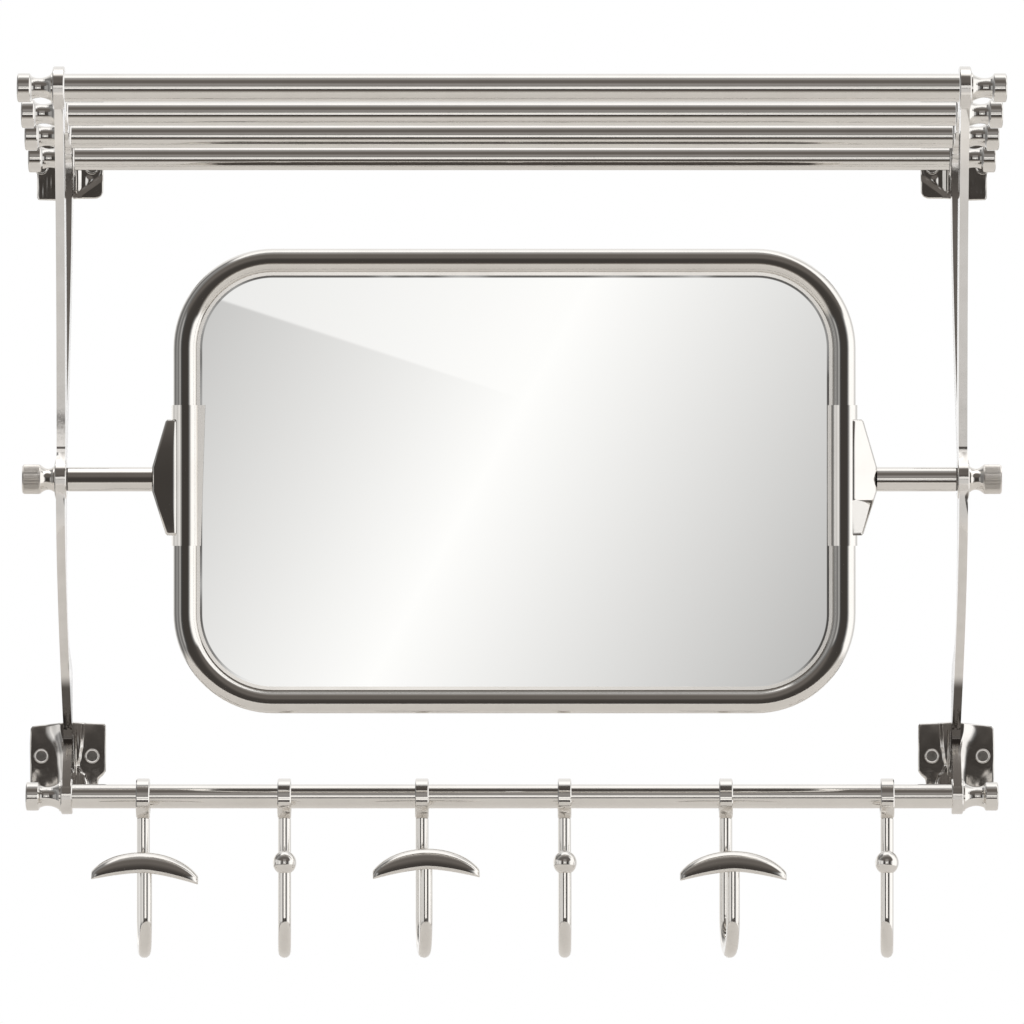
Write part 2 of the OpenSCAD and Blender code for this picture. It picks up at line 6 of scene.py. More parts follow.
import json
import logging
import math
from dataclasses import dataclass
from enum import Enum
from functools import partialmethod
from typing import Any, Callable, Iterable, Sequence

import bmesh
import bpy
from bmesh.types import BMesh, BMFace, BMVert
from mathutils import Matrix, Vector

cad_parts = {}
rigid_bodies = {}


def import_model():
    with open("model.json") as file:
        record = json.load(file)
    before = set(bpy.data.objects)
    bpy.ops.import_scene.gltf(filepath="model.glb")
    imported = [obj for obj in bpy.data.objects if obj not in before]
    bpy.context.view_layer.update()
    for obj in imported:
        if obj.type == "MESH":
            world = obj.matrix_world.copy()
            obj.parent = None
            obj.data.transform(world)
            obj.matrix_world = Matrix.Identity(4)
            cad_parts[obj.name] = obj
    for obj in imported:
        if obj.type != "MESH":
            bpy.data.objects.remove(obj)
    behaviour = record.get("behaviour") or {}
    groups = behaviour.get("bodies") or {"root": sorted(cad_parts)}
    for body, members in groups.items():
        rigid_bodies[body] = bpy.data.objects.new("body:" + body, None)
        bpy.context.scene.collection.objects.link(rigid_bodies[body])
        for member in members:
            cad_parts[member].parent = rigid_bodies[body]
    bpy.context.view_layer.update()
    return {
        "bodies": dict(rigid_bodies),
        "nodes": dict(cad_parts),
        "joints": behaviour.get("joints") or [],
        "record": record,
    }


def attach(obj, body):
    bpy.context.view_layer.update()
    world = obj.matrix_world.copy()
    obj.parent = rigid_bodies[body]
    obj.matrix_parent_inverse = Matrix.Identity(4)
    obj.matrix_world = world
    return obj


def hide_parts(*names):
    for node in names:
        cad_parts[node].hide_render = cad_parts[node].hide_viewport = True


LOG = logging.getLogger("mirror_rack")
MM = 0.001
Pair = tuple[float, float]
Pairs = tuple[Pair, ...]
Triple = tuple[float, float, float]
Node = bpy.types.Node
Socket = bpy.types.NodeSocket
Object = bpy.types.Object

# Millimetres: the brackets' middle planes, the screws' heights, and the screws beside a plane
HALF_SPAN = 356.0
HALF_RISE = 238.0
SCREWS: Pair = (-24.5, 16.5)
# The camera's place, in metres
EYE: Triple = (0.0, -7.077, -0.04075)


class Slot(Enum):
    """The record's material slots."""

    CAST = "cast_nickel"
    TUBE = "tube_nickel"
    KNURL = "knurled_nickel"
    STEEL = "plain_steel"
    GLASS = "silvered_glass"
    BOARD = "back_board"
    FIBRE = "fibre"


# ------------------------------------------------------------------ shader maths


class Value:
    """A shader socket that Python's operators add Math nodes to."""

    def __init__(self, tree: "NodeTree", socket: Socket) -> None:
        """Wraps a socket.

        Args:
            tree: The tree that the socket is in.
            socket: The output socket.
        """
        self.tree = tree
        self.socket = socket

    def _math(self, operation: str, *others: Any) -> "Value":
        """Adds one Math node over this value and the others."""
        return self.tree.math(operation, self, *others)

    __add__ = __radd__ = partialmethod(_math, "ADD")
    __sub__ = partialmethod(_math, "SUBTRACT")
    __mul__ = __rmul__ = partialmethod(_math, "MULTIPLY")
    __truediv__ = partialmethod(_math, "DIVIDE")
    __neg__ = partialmethod(_math, "MULTIPLY", -1.0)
    __abs__ = partialmethod(_math, "ABSOLUTE")

    def __rsub__(self, other: Any) -> "Value":
        """Difference the other way round."""
        return self.tree.math("SUBTRACT", other, self)

    def rise(self, start: float, end: float) -> "Value":
        """A smooth step from 0 at start to 1 at end. End may lie below start.

        Args:
            start: Where the step begins.
            end: Where the step is complete.

        Returns:
            The step.
        """
        node = self.tree.add("ShaderNodeMapRange", {"interpolation_type": "SMOOTHSTEP"},
                             {"Value": self, "From Min": start, "From Max": end})
        return Value(self.tree, node.outputs["Result"])

    def within(self, low: float, high: float, soft: float) -> "Value":
        """1 between low and high, fading to 0 outside over the width soft."""
        return self.rise(low - soft, low) * self.rise(high + soft, high)


class NodeTree:
    """Builds a shader node tree with one method for any node."""

    def __init__(self, tree: bpy.types.NodeTree) -> None:
        """Empties the tree.

        Args:
            tree: The node tree of a material, a world or a modifier.
        """
        self.tree = tree
        tree.nodes.clear()

    def add(self, kind: str, settings: dict[str, Any] | None = None,
            inputs: dict[Any, Any] | None = None) -> Node:
        """Adds a node.

        Args:
            kind: The node's type.
            settings: Its properties; "stops" gives a ramp's positions and colours.
            inputs: Values or links of its sockets, by name or number.

        Returns:
            The node.
        """
        node = self.tree.nodes.new(kind)
        for name, value in (settings or {}).items():
            if name == "stops":
                self._stops(node.color_ramp, value)
            else:
                setattr(node, name, value)
        for name, value in (inputs or {}).items():
            if isinstance(value, Socket):
                self.tree.links.new(value, node.inputs[name])
            elif isinstance(value, Value):
                self.tree.links.new(value.socket, node.inputs[name])
            else:
                node.inputs[name].default_value = value
        return node

    @staticmethod
    def _stops(ramp: bpy.types.ColorRamp, stops: Sequence[tuple[float, Triple]]) -> None:
        """Sets a ramp's stops.

        Args:
            ramp: The ramp.
            stops: Places from 0 to 1, with their colours.
        """
        while len(ramp.elements) > 1:
            ramp.elements.remove(ramp.elements[-1])
        ramp.elements[0].position = stops[0][0]
        ramp.elements[0].color = (*stops[0][1], 1.0)
        for position, colour in stops[1:]:
            ramp.elements.new(position).color = (*colour, 1.0)

    def math(self, operation: str, *values: Any) -> Value:
        """Adds a Math node over values or numbers."""
        node = self.add("ShaderNodeMath", {"operation": operation}, dict(enumerate(values)))
        return Value(self, node.outputs[0])

    def axes(self, vector: Socket) -> list[Value]:
        """Splits a vector into its X, Y and Z values."""
        node = self.add("ShaderNodeSeparateXYZ", None, {0: vector})
        return [Value(self, out) for out in node.outputs]

    def position(self) -> Socket:
        """The place on the piece, in its own coordinates, in metres."""
        return self.add("ShaderNodeTexCoord").outputs["Object"]

    def stretched(self, scale: Triple) -> Socket:
        """The place on the piece, scaled along each axis."""
        return self.add("ShaderNodeMapping", None,
                        {"Vector": self.position(), "Scale": scale}).outputs[0]

    def noise(self, scale: float, detail: float = 3.0, roughness: float = 0.5,
              vector: Socket | None = None) -> Value:
        """Noise on the piece's own coordinates.

        Args:
            scale: Waves in a metre.
            detail: Octaves.
            roughness: How strong the finer octaves are.
            vector: Coordinates, if other than the plain ones.

        Returns:
            The noise, from 0 to 1.
        """
        node = self.add("ShaderNodeTexNoise", None,
                        {"Vector": vector or self.position(), "Scale": scale,
                         "Detail": detail, "Roughness": roughness})
        return Value(self, node.outputs[0])

    def mix(self, factor: Value, first: Any, second: Any) -> Socket:
        """Mixes two colours.

        Args:
            factor: 0 for the first colour, 1 for the second.
            first: A colour or a colour's socket.
            second: The same.

        Returns:
            The mixed colour's socket.
        """
        colours = [(*c, 1.0) if isinstance(c, tuple) else c for c in (first, second)]
        node = self.add("ShaderNodeMix", {"data_type": "RGBA"},
                        {0: factor, 6: colours[0], 7: colours[1]})
        return node.outputs[2]

    def bump(self, height: Value, distance: float, strength: float = 1.0,
             under: Socket | None = None) -> Socket:
        """A Bump node.

        Args:
            height: The height, from 0 to 1.
            distance: Metres for a height of 1.
            strength: Share of the effect.
            under: Another bump's normal that this one lies on.

        Returns:
            The normal.
        """
        inputs: dict[str, Any] = {"Height": height, "Distance": distance, "Strength": strength}
        if under is not None:
            inputs["Normal"] = under
        return self.add("ShaderNodeBump", None, inputs).outputs[0]

    def tinted(self, colour: Socket, tint: Triple) -> Socket:
        """A colour times a tint."""
        return self.add("ShaderNodeVectorMath", {"operation": "MULTIPLY"},
                        {0: colour, 1: tint}).outputs[0]

    def surface(self, colour: Any, rough: Any, normal: Socket | None = None,
                metallic: Any = 1.0) -> Node:
        """A Principled shader.

        Args:
            colour: Its base colour.
            rough: Its roughness.
            normal: A bump's normal, if any.
            metallic: 1 for bare metal.

        Returns:
            The shader's node.
        """
        inputs = {"Base Color": colour, "Metallic": metallic, "Roughness": rough}
        if normal is not None:
            inputs["Normal"] = normal
        return self.add("ShaderNodeBsdfPrincipled", None, inputs)


def new_material(name: str) -> tuple[bpy.types.Material, NodeTree]:
    """Makes a material with an empty node tree.

    Args:
        name: Its name.

    Returns:
        The material and its tree.
    """
    material = bpy.data.materials.new(name)
    material.use_nodes = True
    return material, NodeTree(material.node_tree)


# ------------------------------------------------------------------ finishes


class Finish:
    """A surface finish, which makes its material once and puts it on pieces."""

    slot: Slot
    name: str
    _made: dict[str, bpy.types.Material] = {}

    def build(self, tree: NodeTree) -> Node:
        """Adds the finish's shader to an empty tree and returns it."""
        raise NotImplementedError

    def material(self) -> bpy.types.Material:
        """The finish's material, made when it is first asked for.

        Returns:
            The material.
        """
        if self.name not in Finish._made:
            material, tree = new_material(self.name)
            shader = self.build(tree)
            tree.add("ShaderNodeOutputMaterial", None, {"Surface": shader.outputs[0]})
            Finish._made[self.name] = material
        return Finish._made[self.name]

    def dress(self, obj: Object) -> None:
        """Puts the finish on a piece or a CAD node."""
        obj.data.materials.clear()
        obj.data.materials.append(self.material())


@dataclass(frozen=True)
class Nickel(Finish):
    """Polished nickel plate: faint waves under the plate, wiping marks and rubbed streaks."""

    name: str = "polished_nickel"
    slot: Slot = Slot.TUBE
    tint: Triple = (0.80, 0.775, 0.74)
    shade: Triple = (0.70, 0.67, 0.63)
    roughness: float = 0.06
    smear: float = 0.05
    wave: float = 0.00001
    wave_scale: float = 45.0
    grain: float = 0.0000015
    streak: Triple = (40.0, 900.0, 900.0)
    cloud_scale: float = 24.0
    cloudy: float = 0.35

    def build(self, tree: NodeTree) -> Node:
        """Adds the nickel's shader.

        Args:
            tree: The material's empty tree.

        Returns:
            The shader's node.
        """
        cloud = tree.noise(self.cloud_scale, 4.0, 0.6)
        streaks = tree.noise(1.0, 2.0, 0.5, tree.stretched(self.streak))
        waves = tree.bump(tree.noise(self.wave_scale, 2.0, 0.4), self.wave)
        normal = tree.bump(streaks, self.grain, 1.0, waves)
        colour = tree.mix(cloud.rise(0.35, 0.75) * self.cloudy, self.tint, self.shade)
        rough = self.roughness + self.smear * cloud.rise(0.45, 0.8) + 0.02 * streaks
        return tree.surface(colour, rough, normal)


@dataclass(frozen=True)
class CastNickel(Finish):
    """Plate on a hand-polished casting: soft hollows, strongest on the flat wall plates, a thin
    dark line at the seam, and painted shade in the hollow above the rail's eye."""

    name: str = "cast_nickel"
    slot: Slot = Slot.CAST
    tint: Triple = (0.79, 0.765, 0.735)
    shade: Triple = (0.66, 0.635, 0.60)
    # Near-black colour of the seam line and of the painted shade above the rail's eye
    dull: Triple = (0.09, 0.08, 0.072)
    plate_depth: float = 0.012
    plate_rise: float = 0.238
    bow: float = 4.0
    swell: Pair = (26.0, 0.0009)
    hollow: Pair = (70.0, 0.00022)
    pit: Pair = (420.0, 0.000012)
    seam: Pair = (0.0094, 0.0106)
    seam_out: Pair = (0.1695, 0.1715)
    foot: Pair = (-0.226, -0.182)
    foot_out: Pair = (0.02, 0.03)

    def build(self, tree: NodeTree) -> Node:
        """Adds the casting's shader.

        Args:
            tree: The material's empty tree.

        Returns:
            The shader's node.
        """
        _, y, z = tree.axes(tree.position())
        plate = (-y).rise(self.plate_depth, self.plate_depth - 0.006)
        swell = tree.noise(self.swell[0], 1.5, 0.4)
        hollow = tree.noise(self.hollow[0], 2.0, 0.5)
        pits = tree.noise(self.pit[0], 3.0, 0.6)
        normal = tree.bump(swell, self.swell[1], plate * 0.85 + 0.15)
        normal = tree.bump(hollow, self.hollow[1], plate * 0.7 + 0.3, normal)
        normal = tree.bump(pits, self.pit[1], 1.0, normal)
        over = tree.math("MAXIMUM", z - tree.math("SIGN", z) * self.plate_rise, 0.0)
        normal = tree.bump(-(over * over * self.bow), 1.0, plate, normal)
        colour = tree.mix(hollow.rise(0.35, 0.7) * (plate * 0.5 + 0.3), self.tint, self.shade)
        seam = z.within(*self.seam, 0.0006) * (-y).rise(*self.seam_out)
        # Painted shade: the band above the rail's eye is darkened almost to black to stand in
        # for a dark reflection there; the seam line shares the colour
        seam_and_painted_shade = z.within(*self.foot, 0.012) * (-y).rise(*self.foot_out) + seam
        colour = tree.mix(seam_and_painted_shade * 0.95, colour, self.dull)
        rough = 0.085 + 0.06 * pits.rise(0.4, 0.8) + 0.04 * plate
        return tree.surface(colour, rough, normal)


@dataclass(frozen=True)
class KnurledNickel(Nickel):
    """Nickel that is polished on the knob's neck and satin on its knurled head."""

    name: str = "knurled_nickel"
    slot: Slot = Slot.KNURL
    tint: Triple = (0.80, 0.765, 0.72)
    shade: Triple = (0.70, 0.66, 0.61)
    polish: float = 0.07
    satin: float = 0.3
    head: float = 0.3716
    ridge: float = 900.0

    def build(self, tree: NodeTree) -> Node:
        """Adds the nickel's shader, with the head made satin.

        Args:
            tree: The material's empty tree.

        Returns:
            The shader's node.
        """
        shader = super().build(tree)
        x, _, _ = tree.axes(tree.position())
        on_head = abs(x).rise(self.head - 0.0002, self.head + 0.0002)
        marks = tree.noise(1.0, 2.0, 0.5, tree.stretched((60.0, self.ridge, self.ridge)))
        rough = self.polish + (self.satin + 0.1 * marks - self.polish) * on_head
        tree.tree.links.new(rough.socket, shader.inputs["Roughness"])
        return shader


@dataclass(frozen=True)
class BowedNickel(Nickel):
    """Nickel on a part whose flat face was polished slightly round."""

    name: str = "bowed_nickel"
    middle: float = -0.0149
    bow: float = 1.6
    turn_in: float = 80.0
    edge: float = 0.2693
    lean: float = 0.0
    lean_from: Pair = (-0.07, -0.03)

    def build(self, tree: NodeTree) -> Node:
        """Adds the nickel's shader, with the face made round.

        Args:
            tree: The material's empty tree.

        Returns:
            The shader's node.
        """
        shader = super().build(tree)
        x, _, z = tree.axes(tree.position())
        off = z - self.middle
        inside = tree.math("MAXIMUM", self.edge - abs(x), 0.0)
        away = abs(x) * (self.lean * z.rise(*self.lean_from))
        shape = off * off * self.bow + inside * inside * self.turn_in + away
        normal = tree.bump(-shape, 1.0)
        tree.tree.links.new(normal, shader.inputs["Normal"])
        return shader


@dataclass(frozen=True)
class Steel(Finish):
    """Plain zinc-plated steel, brushed and a little matt."""

    name: str = "plain_steel"
    slot: Slot = Slot.STEEL
    tint: Triple = (0.66, 0.65, 0.63)
    shade: Triple = (0.42, 0.41, 0.40)
    rough: float = 0.34
    brush: float = 0.000006

    def build(self, tree: NodeTree) -> Node:
        """Adds the steel's shader.

        Args:
            tree: The material's empty tree.

        Returns:
            The shader's node.
        """
        cloud = tree.noise(300.0, 4.0, 0.6)
        fine = tree.noise(2200.0, 2.0, 0.5)
        colour = tree.mix(cloud.rise(0.4, 0.8), self.tint, self.shade)
        return tree.surface(colour, self.rough + 0.12 * cloud, tree.bump(fine, self.brush))


@dataclass(frozen=True)
class SilveredGlass(Finish):
    """Mirror glass: silver behind clear glass, a green-grey ground edge, and a painted shadow
    line of uneven strength next to the rim, left off the bottom edge."""

    name: str = "silvered_glass"
    slot: Slot = Slot.GLASS
    silver: Triple = (0.955, 0.962, 0.958)
    edge: Triple = (0.33, 0.42, 0.39)
    front: float = -0.1698
    # Colour of the painted shadow line next to the rim
    line: Triple = (0.09, 0.085, 0.08)
    middle: Pair = (0.002, -0.0163)
    straight: Pair = (0.1905, 0.1045)
    radius: float = 0.0578
    inset: Pair = (0.0021, 0.0014)
    fade: Pair = (-0.178, -0.15)

    def build(self, tree: NodeTree) -> Node:
        """Adds the glass's shader.

        Args:
            tree: The material's empty tree.

        Returns:
            The shader's node.
        """
        x, y, z = tree.axes(tree.position())
        behind = y.rise(self.front + 0.0004, self.front + 0.0006)
        haze = tree.noise(9.0, 3.0, 0.5)
        past = [tree.math("MAXIMUM", abs(along - mid) - half, 0.0)
                for along, mid, half in zip((x, z), self.middle, self.straight)]
        out = tree.math("SQRT", past[0] * past[0] + past[1] * past[1])
        # Painted shadow: a thin dark line just inside the rim, of uneven strength, fading out
        # at the bottom edge
        painted_rim_shadow = out.rise(*(self.radius - i for i in self.inset)) * z.rise(*self.fade)
        colour = tree.mix(painted_rim_shadow * (0.35 + 0.6 * haze.rise(0.38, 0.56)), self.silver, self.line)
        colour = tree.mix(behind, colour, self.edge)
        rough = 0.004 + 0.004 * haze + 0.2 * behind
        return tree.surface(colour, rough, metallic=1.0 - 0.9 * behind)


@dataclass(frozen=True)
class Board(Finish):
    """Dark pressed board or fibre, with short flecks."""

    name: str
    slot: Slot
    tint: Triple = (0.055, 0.045, 0.038)
    fleck: Triple = (0.12, 0.095, 0.07)
    scale: float = 500.0
    grain: float = 0.00008

    def build(self, tree: NodeTree) -> Node:
        """Adds the board's shader.

        Args:
            tree: The material's empty tree.

        Returns:
            The shader's node.
        """
        flecks = tree.noise(1.0, 4.0, 0.65,
                            tree.stretched((self.scale, self.scale, self.scale * 0.35)))
        colour = tree.mix(flecks.rise(0.5, 0.72), self.tint, self.fleck)
        return tree.surface(colour, 0.62 + 0.2 * flecks, tree.bump(flecks, self.grain), 0.0)


# ------------------------------------------------------------------ geometry nodes


class Repeat:
    """A Geometry Nodes tree that sets copies of one mesh on points and gives them a finish."""

    def __init__(self, name: str, sizes: dict[str, float]) -> None:
        """Starts the tree with its inputs.

        Args:
            name: The tree's name.
            sizes: Its inputs' names, and their values in metres or as numbers.
        """
        self.group = bpy.data.node_groups.new(name, "GeometryNodeTree")
        self.sizes = sizes
        face = self.group.interface
        face.new_socket("Geometry", in_out="OUTPUT", socket_type="NodeSocketGeometry")
        face.new_socket("Geometry", in_out="INPUT", socket_type="NodeSocketGeometry")
        self.keys = {}
        for label, value in sizes.items():
            kind = "NodeSocketInt" if isinstance(value, int) else "NodeSocketFloat"
            self.keys[label] = face.new_socket(label, in_out="INPUT",
                                               socket_type=kind).identifier
        self.keys["Finish"] = face.new_socket("Finish", in_out="INPUT",
                                              socket_type="NodeSocketMaterial").identifier
        self.tree = NodeTree(self.group)
        self.given = self.tree.add("NodeGroupInput").outputs

    def line(self, label: str, axis: int) -> Socket:
        """Two points along an axis, evenly about the middle.

        Args:
            label: The input that gives their distance.
            axis: The axis's number.

        Returns:
            The points.
        """
        ends = []
        for side in (-0.5, 0.5):
            half = self.tree.math("MULTIPLY", self.given[label], side)
            ends.append(self.tree.add("ShaderNodeCombineXYZ", None, {axis: half}).outputs[0])
        line = self.tree.add("GeometryNodeMeshLine", {"mode": "END_POINTS"},
                             {"Count": 2, "Start Location": ends[0], "Offset": ends[1]})
        return line.outputs[0]

    def turn_about(self, axis: int, angle: Any) -> Socket:
        """A turn about an axis.

        Args:
            axis: The axis's number.
            angle: The angle, in radians.

        Returns:
            The turn.
        """
        euler = self.tree.add("ShaderNodeCombineXYZ", None, {axis: angle})
        return self.tree.add("FunctionNodeEulerToRotation", None,
                             {0: euler.outputs[0]}).outputs[0]

    def on(self, points: Socket, instance: Socket, turn: Socket | None = None) -> Socket:
        """Sets real copies on points.

        Args:
            points: The points.
            instance: What is copied.
            turn: The turn of each copy, if any.

        Returns:
            The copies as one mesh.
        """
        inputs: dict[str, Any] = {"Points": points, "Instance": instance}
        if turn is not None:
            inputs["Rotation"] = turn
        copies = self.tree.add("GeometryNodeInstanceOnPoints", None, inputs)
        return self.tree.add("GeometryNodeRealizeInstances", None,
                             {0: copies.outputs[0]}).outputs[0]

    def finish(self, mesh: Socket) -> None:
        """Ends the tree in Set Material.

        Args:
            mesh: The mesh that the tree gives.
        """
        set_material = self.tree.add("GeometryNodeSetMaterial", None,
                                     {"Geometry": mesh, "Material": self.given["Finish"]})
        self.tree.add("NodeGroupOutput", None, {0: set_material.outputs[0]})

    def run(self, obj: Object, material: bpy.types.Material) -> None:
        """Runs the tree on a piece and keeps the result as its mesh.

        Args:
            obj: The piece that holds the mesh to copy.
            material: The finish's material.
        """
        modifier = obj.modifiers.new(self.group.name, "NODES")
        modifier.node_group = self.group
        for label, value in self.sizes.items():
            modifier[self.keys[label]] = value
        modifier[self.keys["Finish"]] = material
        apply_modifiers(obj)


# ------------------------------------------------------------------ mesh helpers


def turned(degrees: float, axis: str) -> Matrix:
    """A turn about an axis."""
    return Matrix.Rotation(math.radians(degrees), 4, axis)


def bridge(bm: BMesh, rows: Sequence[Sequence[BMVert]]) -> None:
    """Joins closed rows of points, each to the next, with faces.

    Args:
        bm: The mesh that the points are in.
        rows: The rows, all with as many points.
    """
    for one, two in zip(rows, rows[1:]):
        for s in range(len(one)):
            t = (s + 1) % len(one)
            bm.faces.new((one[s], one[t], two[t], two[s]))


def close(bm: BMesh, rows: Sequence[Sequence[BMVert]]) -> None:
    """Joins closed rows of points and closes the first and the last one.

    Args:
        bm: The mesh that the points are in.
        rows: The rows, all with as many points.
    """
    bridge(bm, rows)
    bm.faces.new(list(reversed(rows[0])))
    bm.faces.new(rows[-1])


def outwards(bm: BMesh) -> None:
    """Turns all faces outwards."""
    bmesh.ops.recalc_face_normals(bm, faces=bm.faces)


def lathe(bm: BMesh, profile: Sequence[Pair], sides: int,
          reach: Callable[[float, float], float] | None = None, hollow: bool = False) -> None:
    """Turns a profile about the Z axis.

    Args:
        bm: The mesh that it is added to.
        profile: Pairs of radius and place along the axis, in millimetres.
        sides: Faces round.
        reach: Radius added at an angle and a place, as on a thread.
        hollow: Whether the profile is a closed one, away from the axis.
    """
    rows = []
    for radius, along in profile:
        row = []
        for s in range(sides):
            angle = s * math.tau / sides
            r = radius + (reach(angle, along) if reach else 0.0)
            row.append(bm.verts.new(Vector((r * math.cos(angle), r * math.sin(angle),
                                            along)) * MM))
        rows.append(row)
    if hollow:
        bridge(bm, rows + rows[:1])
        outwards(bm)
    else:
        close(bm, rows)


def merged_copy(node: Object, name: str) -> Object:
    """Copies a CAD node's mesh, merges its doubles and dissolves its flat faces.

    Args:
        node: The CAD node.
        name: The new piece's name.

    Returns:
        The new piece, linked to the scene.
    """
    bm = bmesh.new()
    bm.from_mesh(node.data)
    bmesh.ops.remove_doubles(bm, verts=bm.verts, dist=1e-6)
    bmesh.ops.dissolve_limit(bm, angle_limit=math.radians(0.6), verts=bm.verts, edges=bm.edges)
    outwards(bm)
    return from_bmesh(bm, name)


def from_bmesh(bm: BMesh, name: str) -> Object:
    """Makes a linked object from a bmesh and frees the bmesh.

    Args:
        bm: The bmesh.
        name: The object's name.

    Returns:
        The object.
    """
    mesh = bpy.data.meshes.new(name)
    bm.to_mesh(mesh)
    bm.free()
    obj = bpy.data.objects.new(name, mesh)
    bpy.context.scene.collection.objects.link(obj)
    return obj


def shade(obj: Object, angle: float) -> None:
    """Shades a piece smooth, apart from its sharp edges.

    Args:
        obj: The piece.
        angle: The angle above which an edge is sharp, in degrees.
    """
    mesh = obj.data
    mesh.shade_smooth()
    mesh.set_sharp_from_angle(angle=math.radians(angle))


def bevel(obj: Object, width: float, segments: int, angle: float) -> None:
    """Eases a piece's edges.

    Args:
        obj: The piece.
        width: Width of the eased edge, in metres.
        segments: Faces across it.
        angle: The least angle of an edge that is eased, in degrees.
    """
    modifier = obj.modifiers.new("eased", "BEVEL")
    modifier.width = width
    modifier.segments = segments
    modifier.limit_method = "ANGLE"
    modifier.angle_limit = math.radians(angle)
    apply_modifiers(obj)


def apply_modifiers(obj: Object) -> None:
    """Turns what the modifiers make into the piece's own mesh.

    Args:
        obj: The piece.
    """
    bpy.context.view_layer.update()
    graph = bpy.context.evaluated_depsgraph_get()
    mesh = bpy.data.meshes.new_from_object(obj.evaluated_get(graph))
    obj.modifiers.clear()
    obj.data = mesh


# ------------------------------------------------------------------ sub-assemblies


@dataclass
class Assembly:
    """A group of CAD nodes and pieces that are dressed together."""

    frame: dict[str, Any]

    def node(self, name: str) -> Object:
        """A CAD node's object."""
        return self.frame["nodes"][name]

    def dress(self, finish: Finish, names: Iterable[str]) -> None:
        """Puts a finish on CAD nodes.

        Args:
            finish: The finish.
            names: The nodes' names.
        """
        for name in names:
            finish.dress(self.node(name))
            LOG.info("dressed %s with %s", name, finish.name)

    def stand_in(self, obj: Object, finish: Finish, body: str, *names: str) -> None:
        """Dresses a new piece, lets it ride on a body and stand for CAD nodes.

        Args:
            obj: The new piece.
            finish: Its finish.
            body: The body that it rides on.
            names: The CAD nodes that it stands for.
        """
        finish.dress(obj)
        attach(obj, body)
        if names:
            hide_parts(*names)
        LOG.info("made %s on %s for %s", obj.name, body, ", ".join(names))


@dataclass
class Brackets(Assembly):
    """The two cast brackets, with the eased edges of a polished casting."""

    ease: float = 0.9 * MM

    def build(self) -> None:
        """Makes both brackets."""
        for side in ("left", "right"):
            name = f"{side}_bracket"
            piece = merged_copy(self.node(name), f"{side}_cast_bracket")
            bevel(piece, self.ease, 3, 35.0)
            shade(piece, 32.0)
            self.stand_in(piece, CastNickel(), "rack", name)
            piece.visible_glossy = False


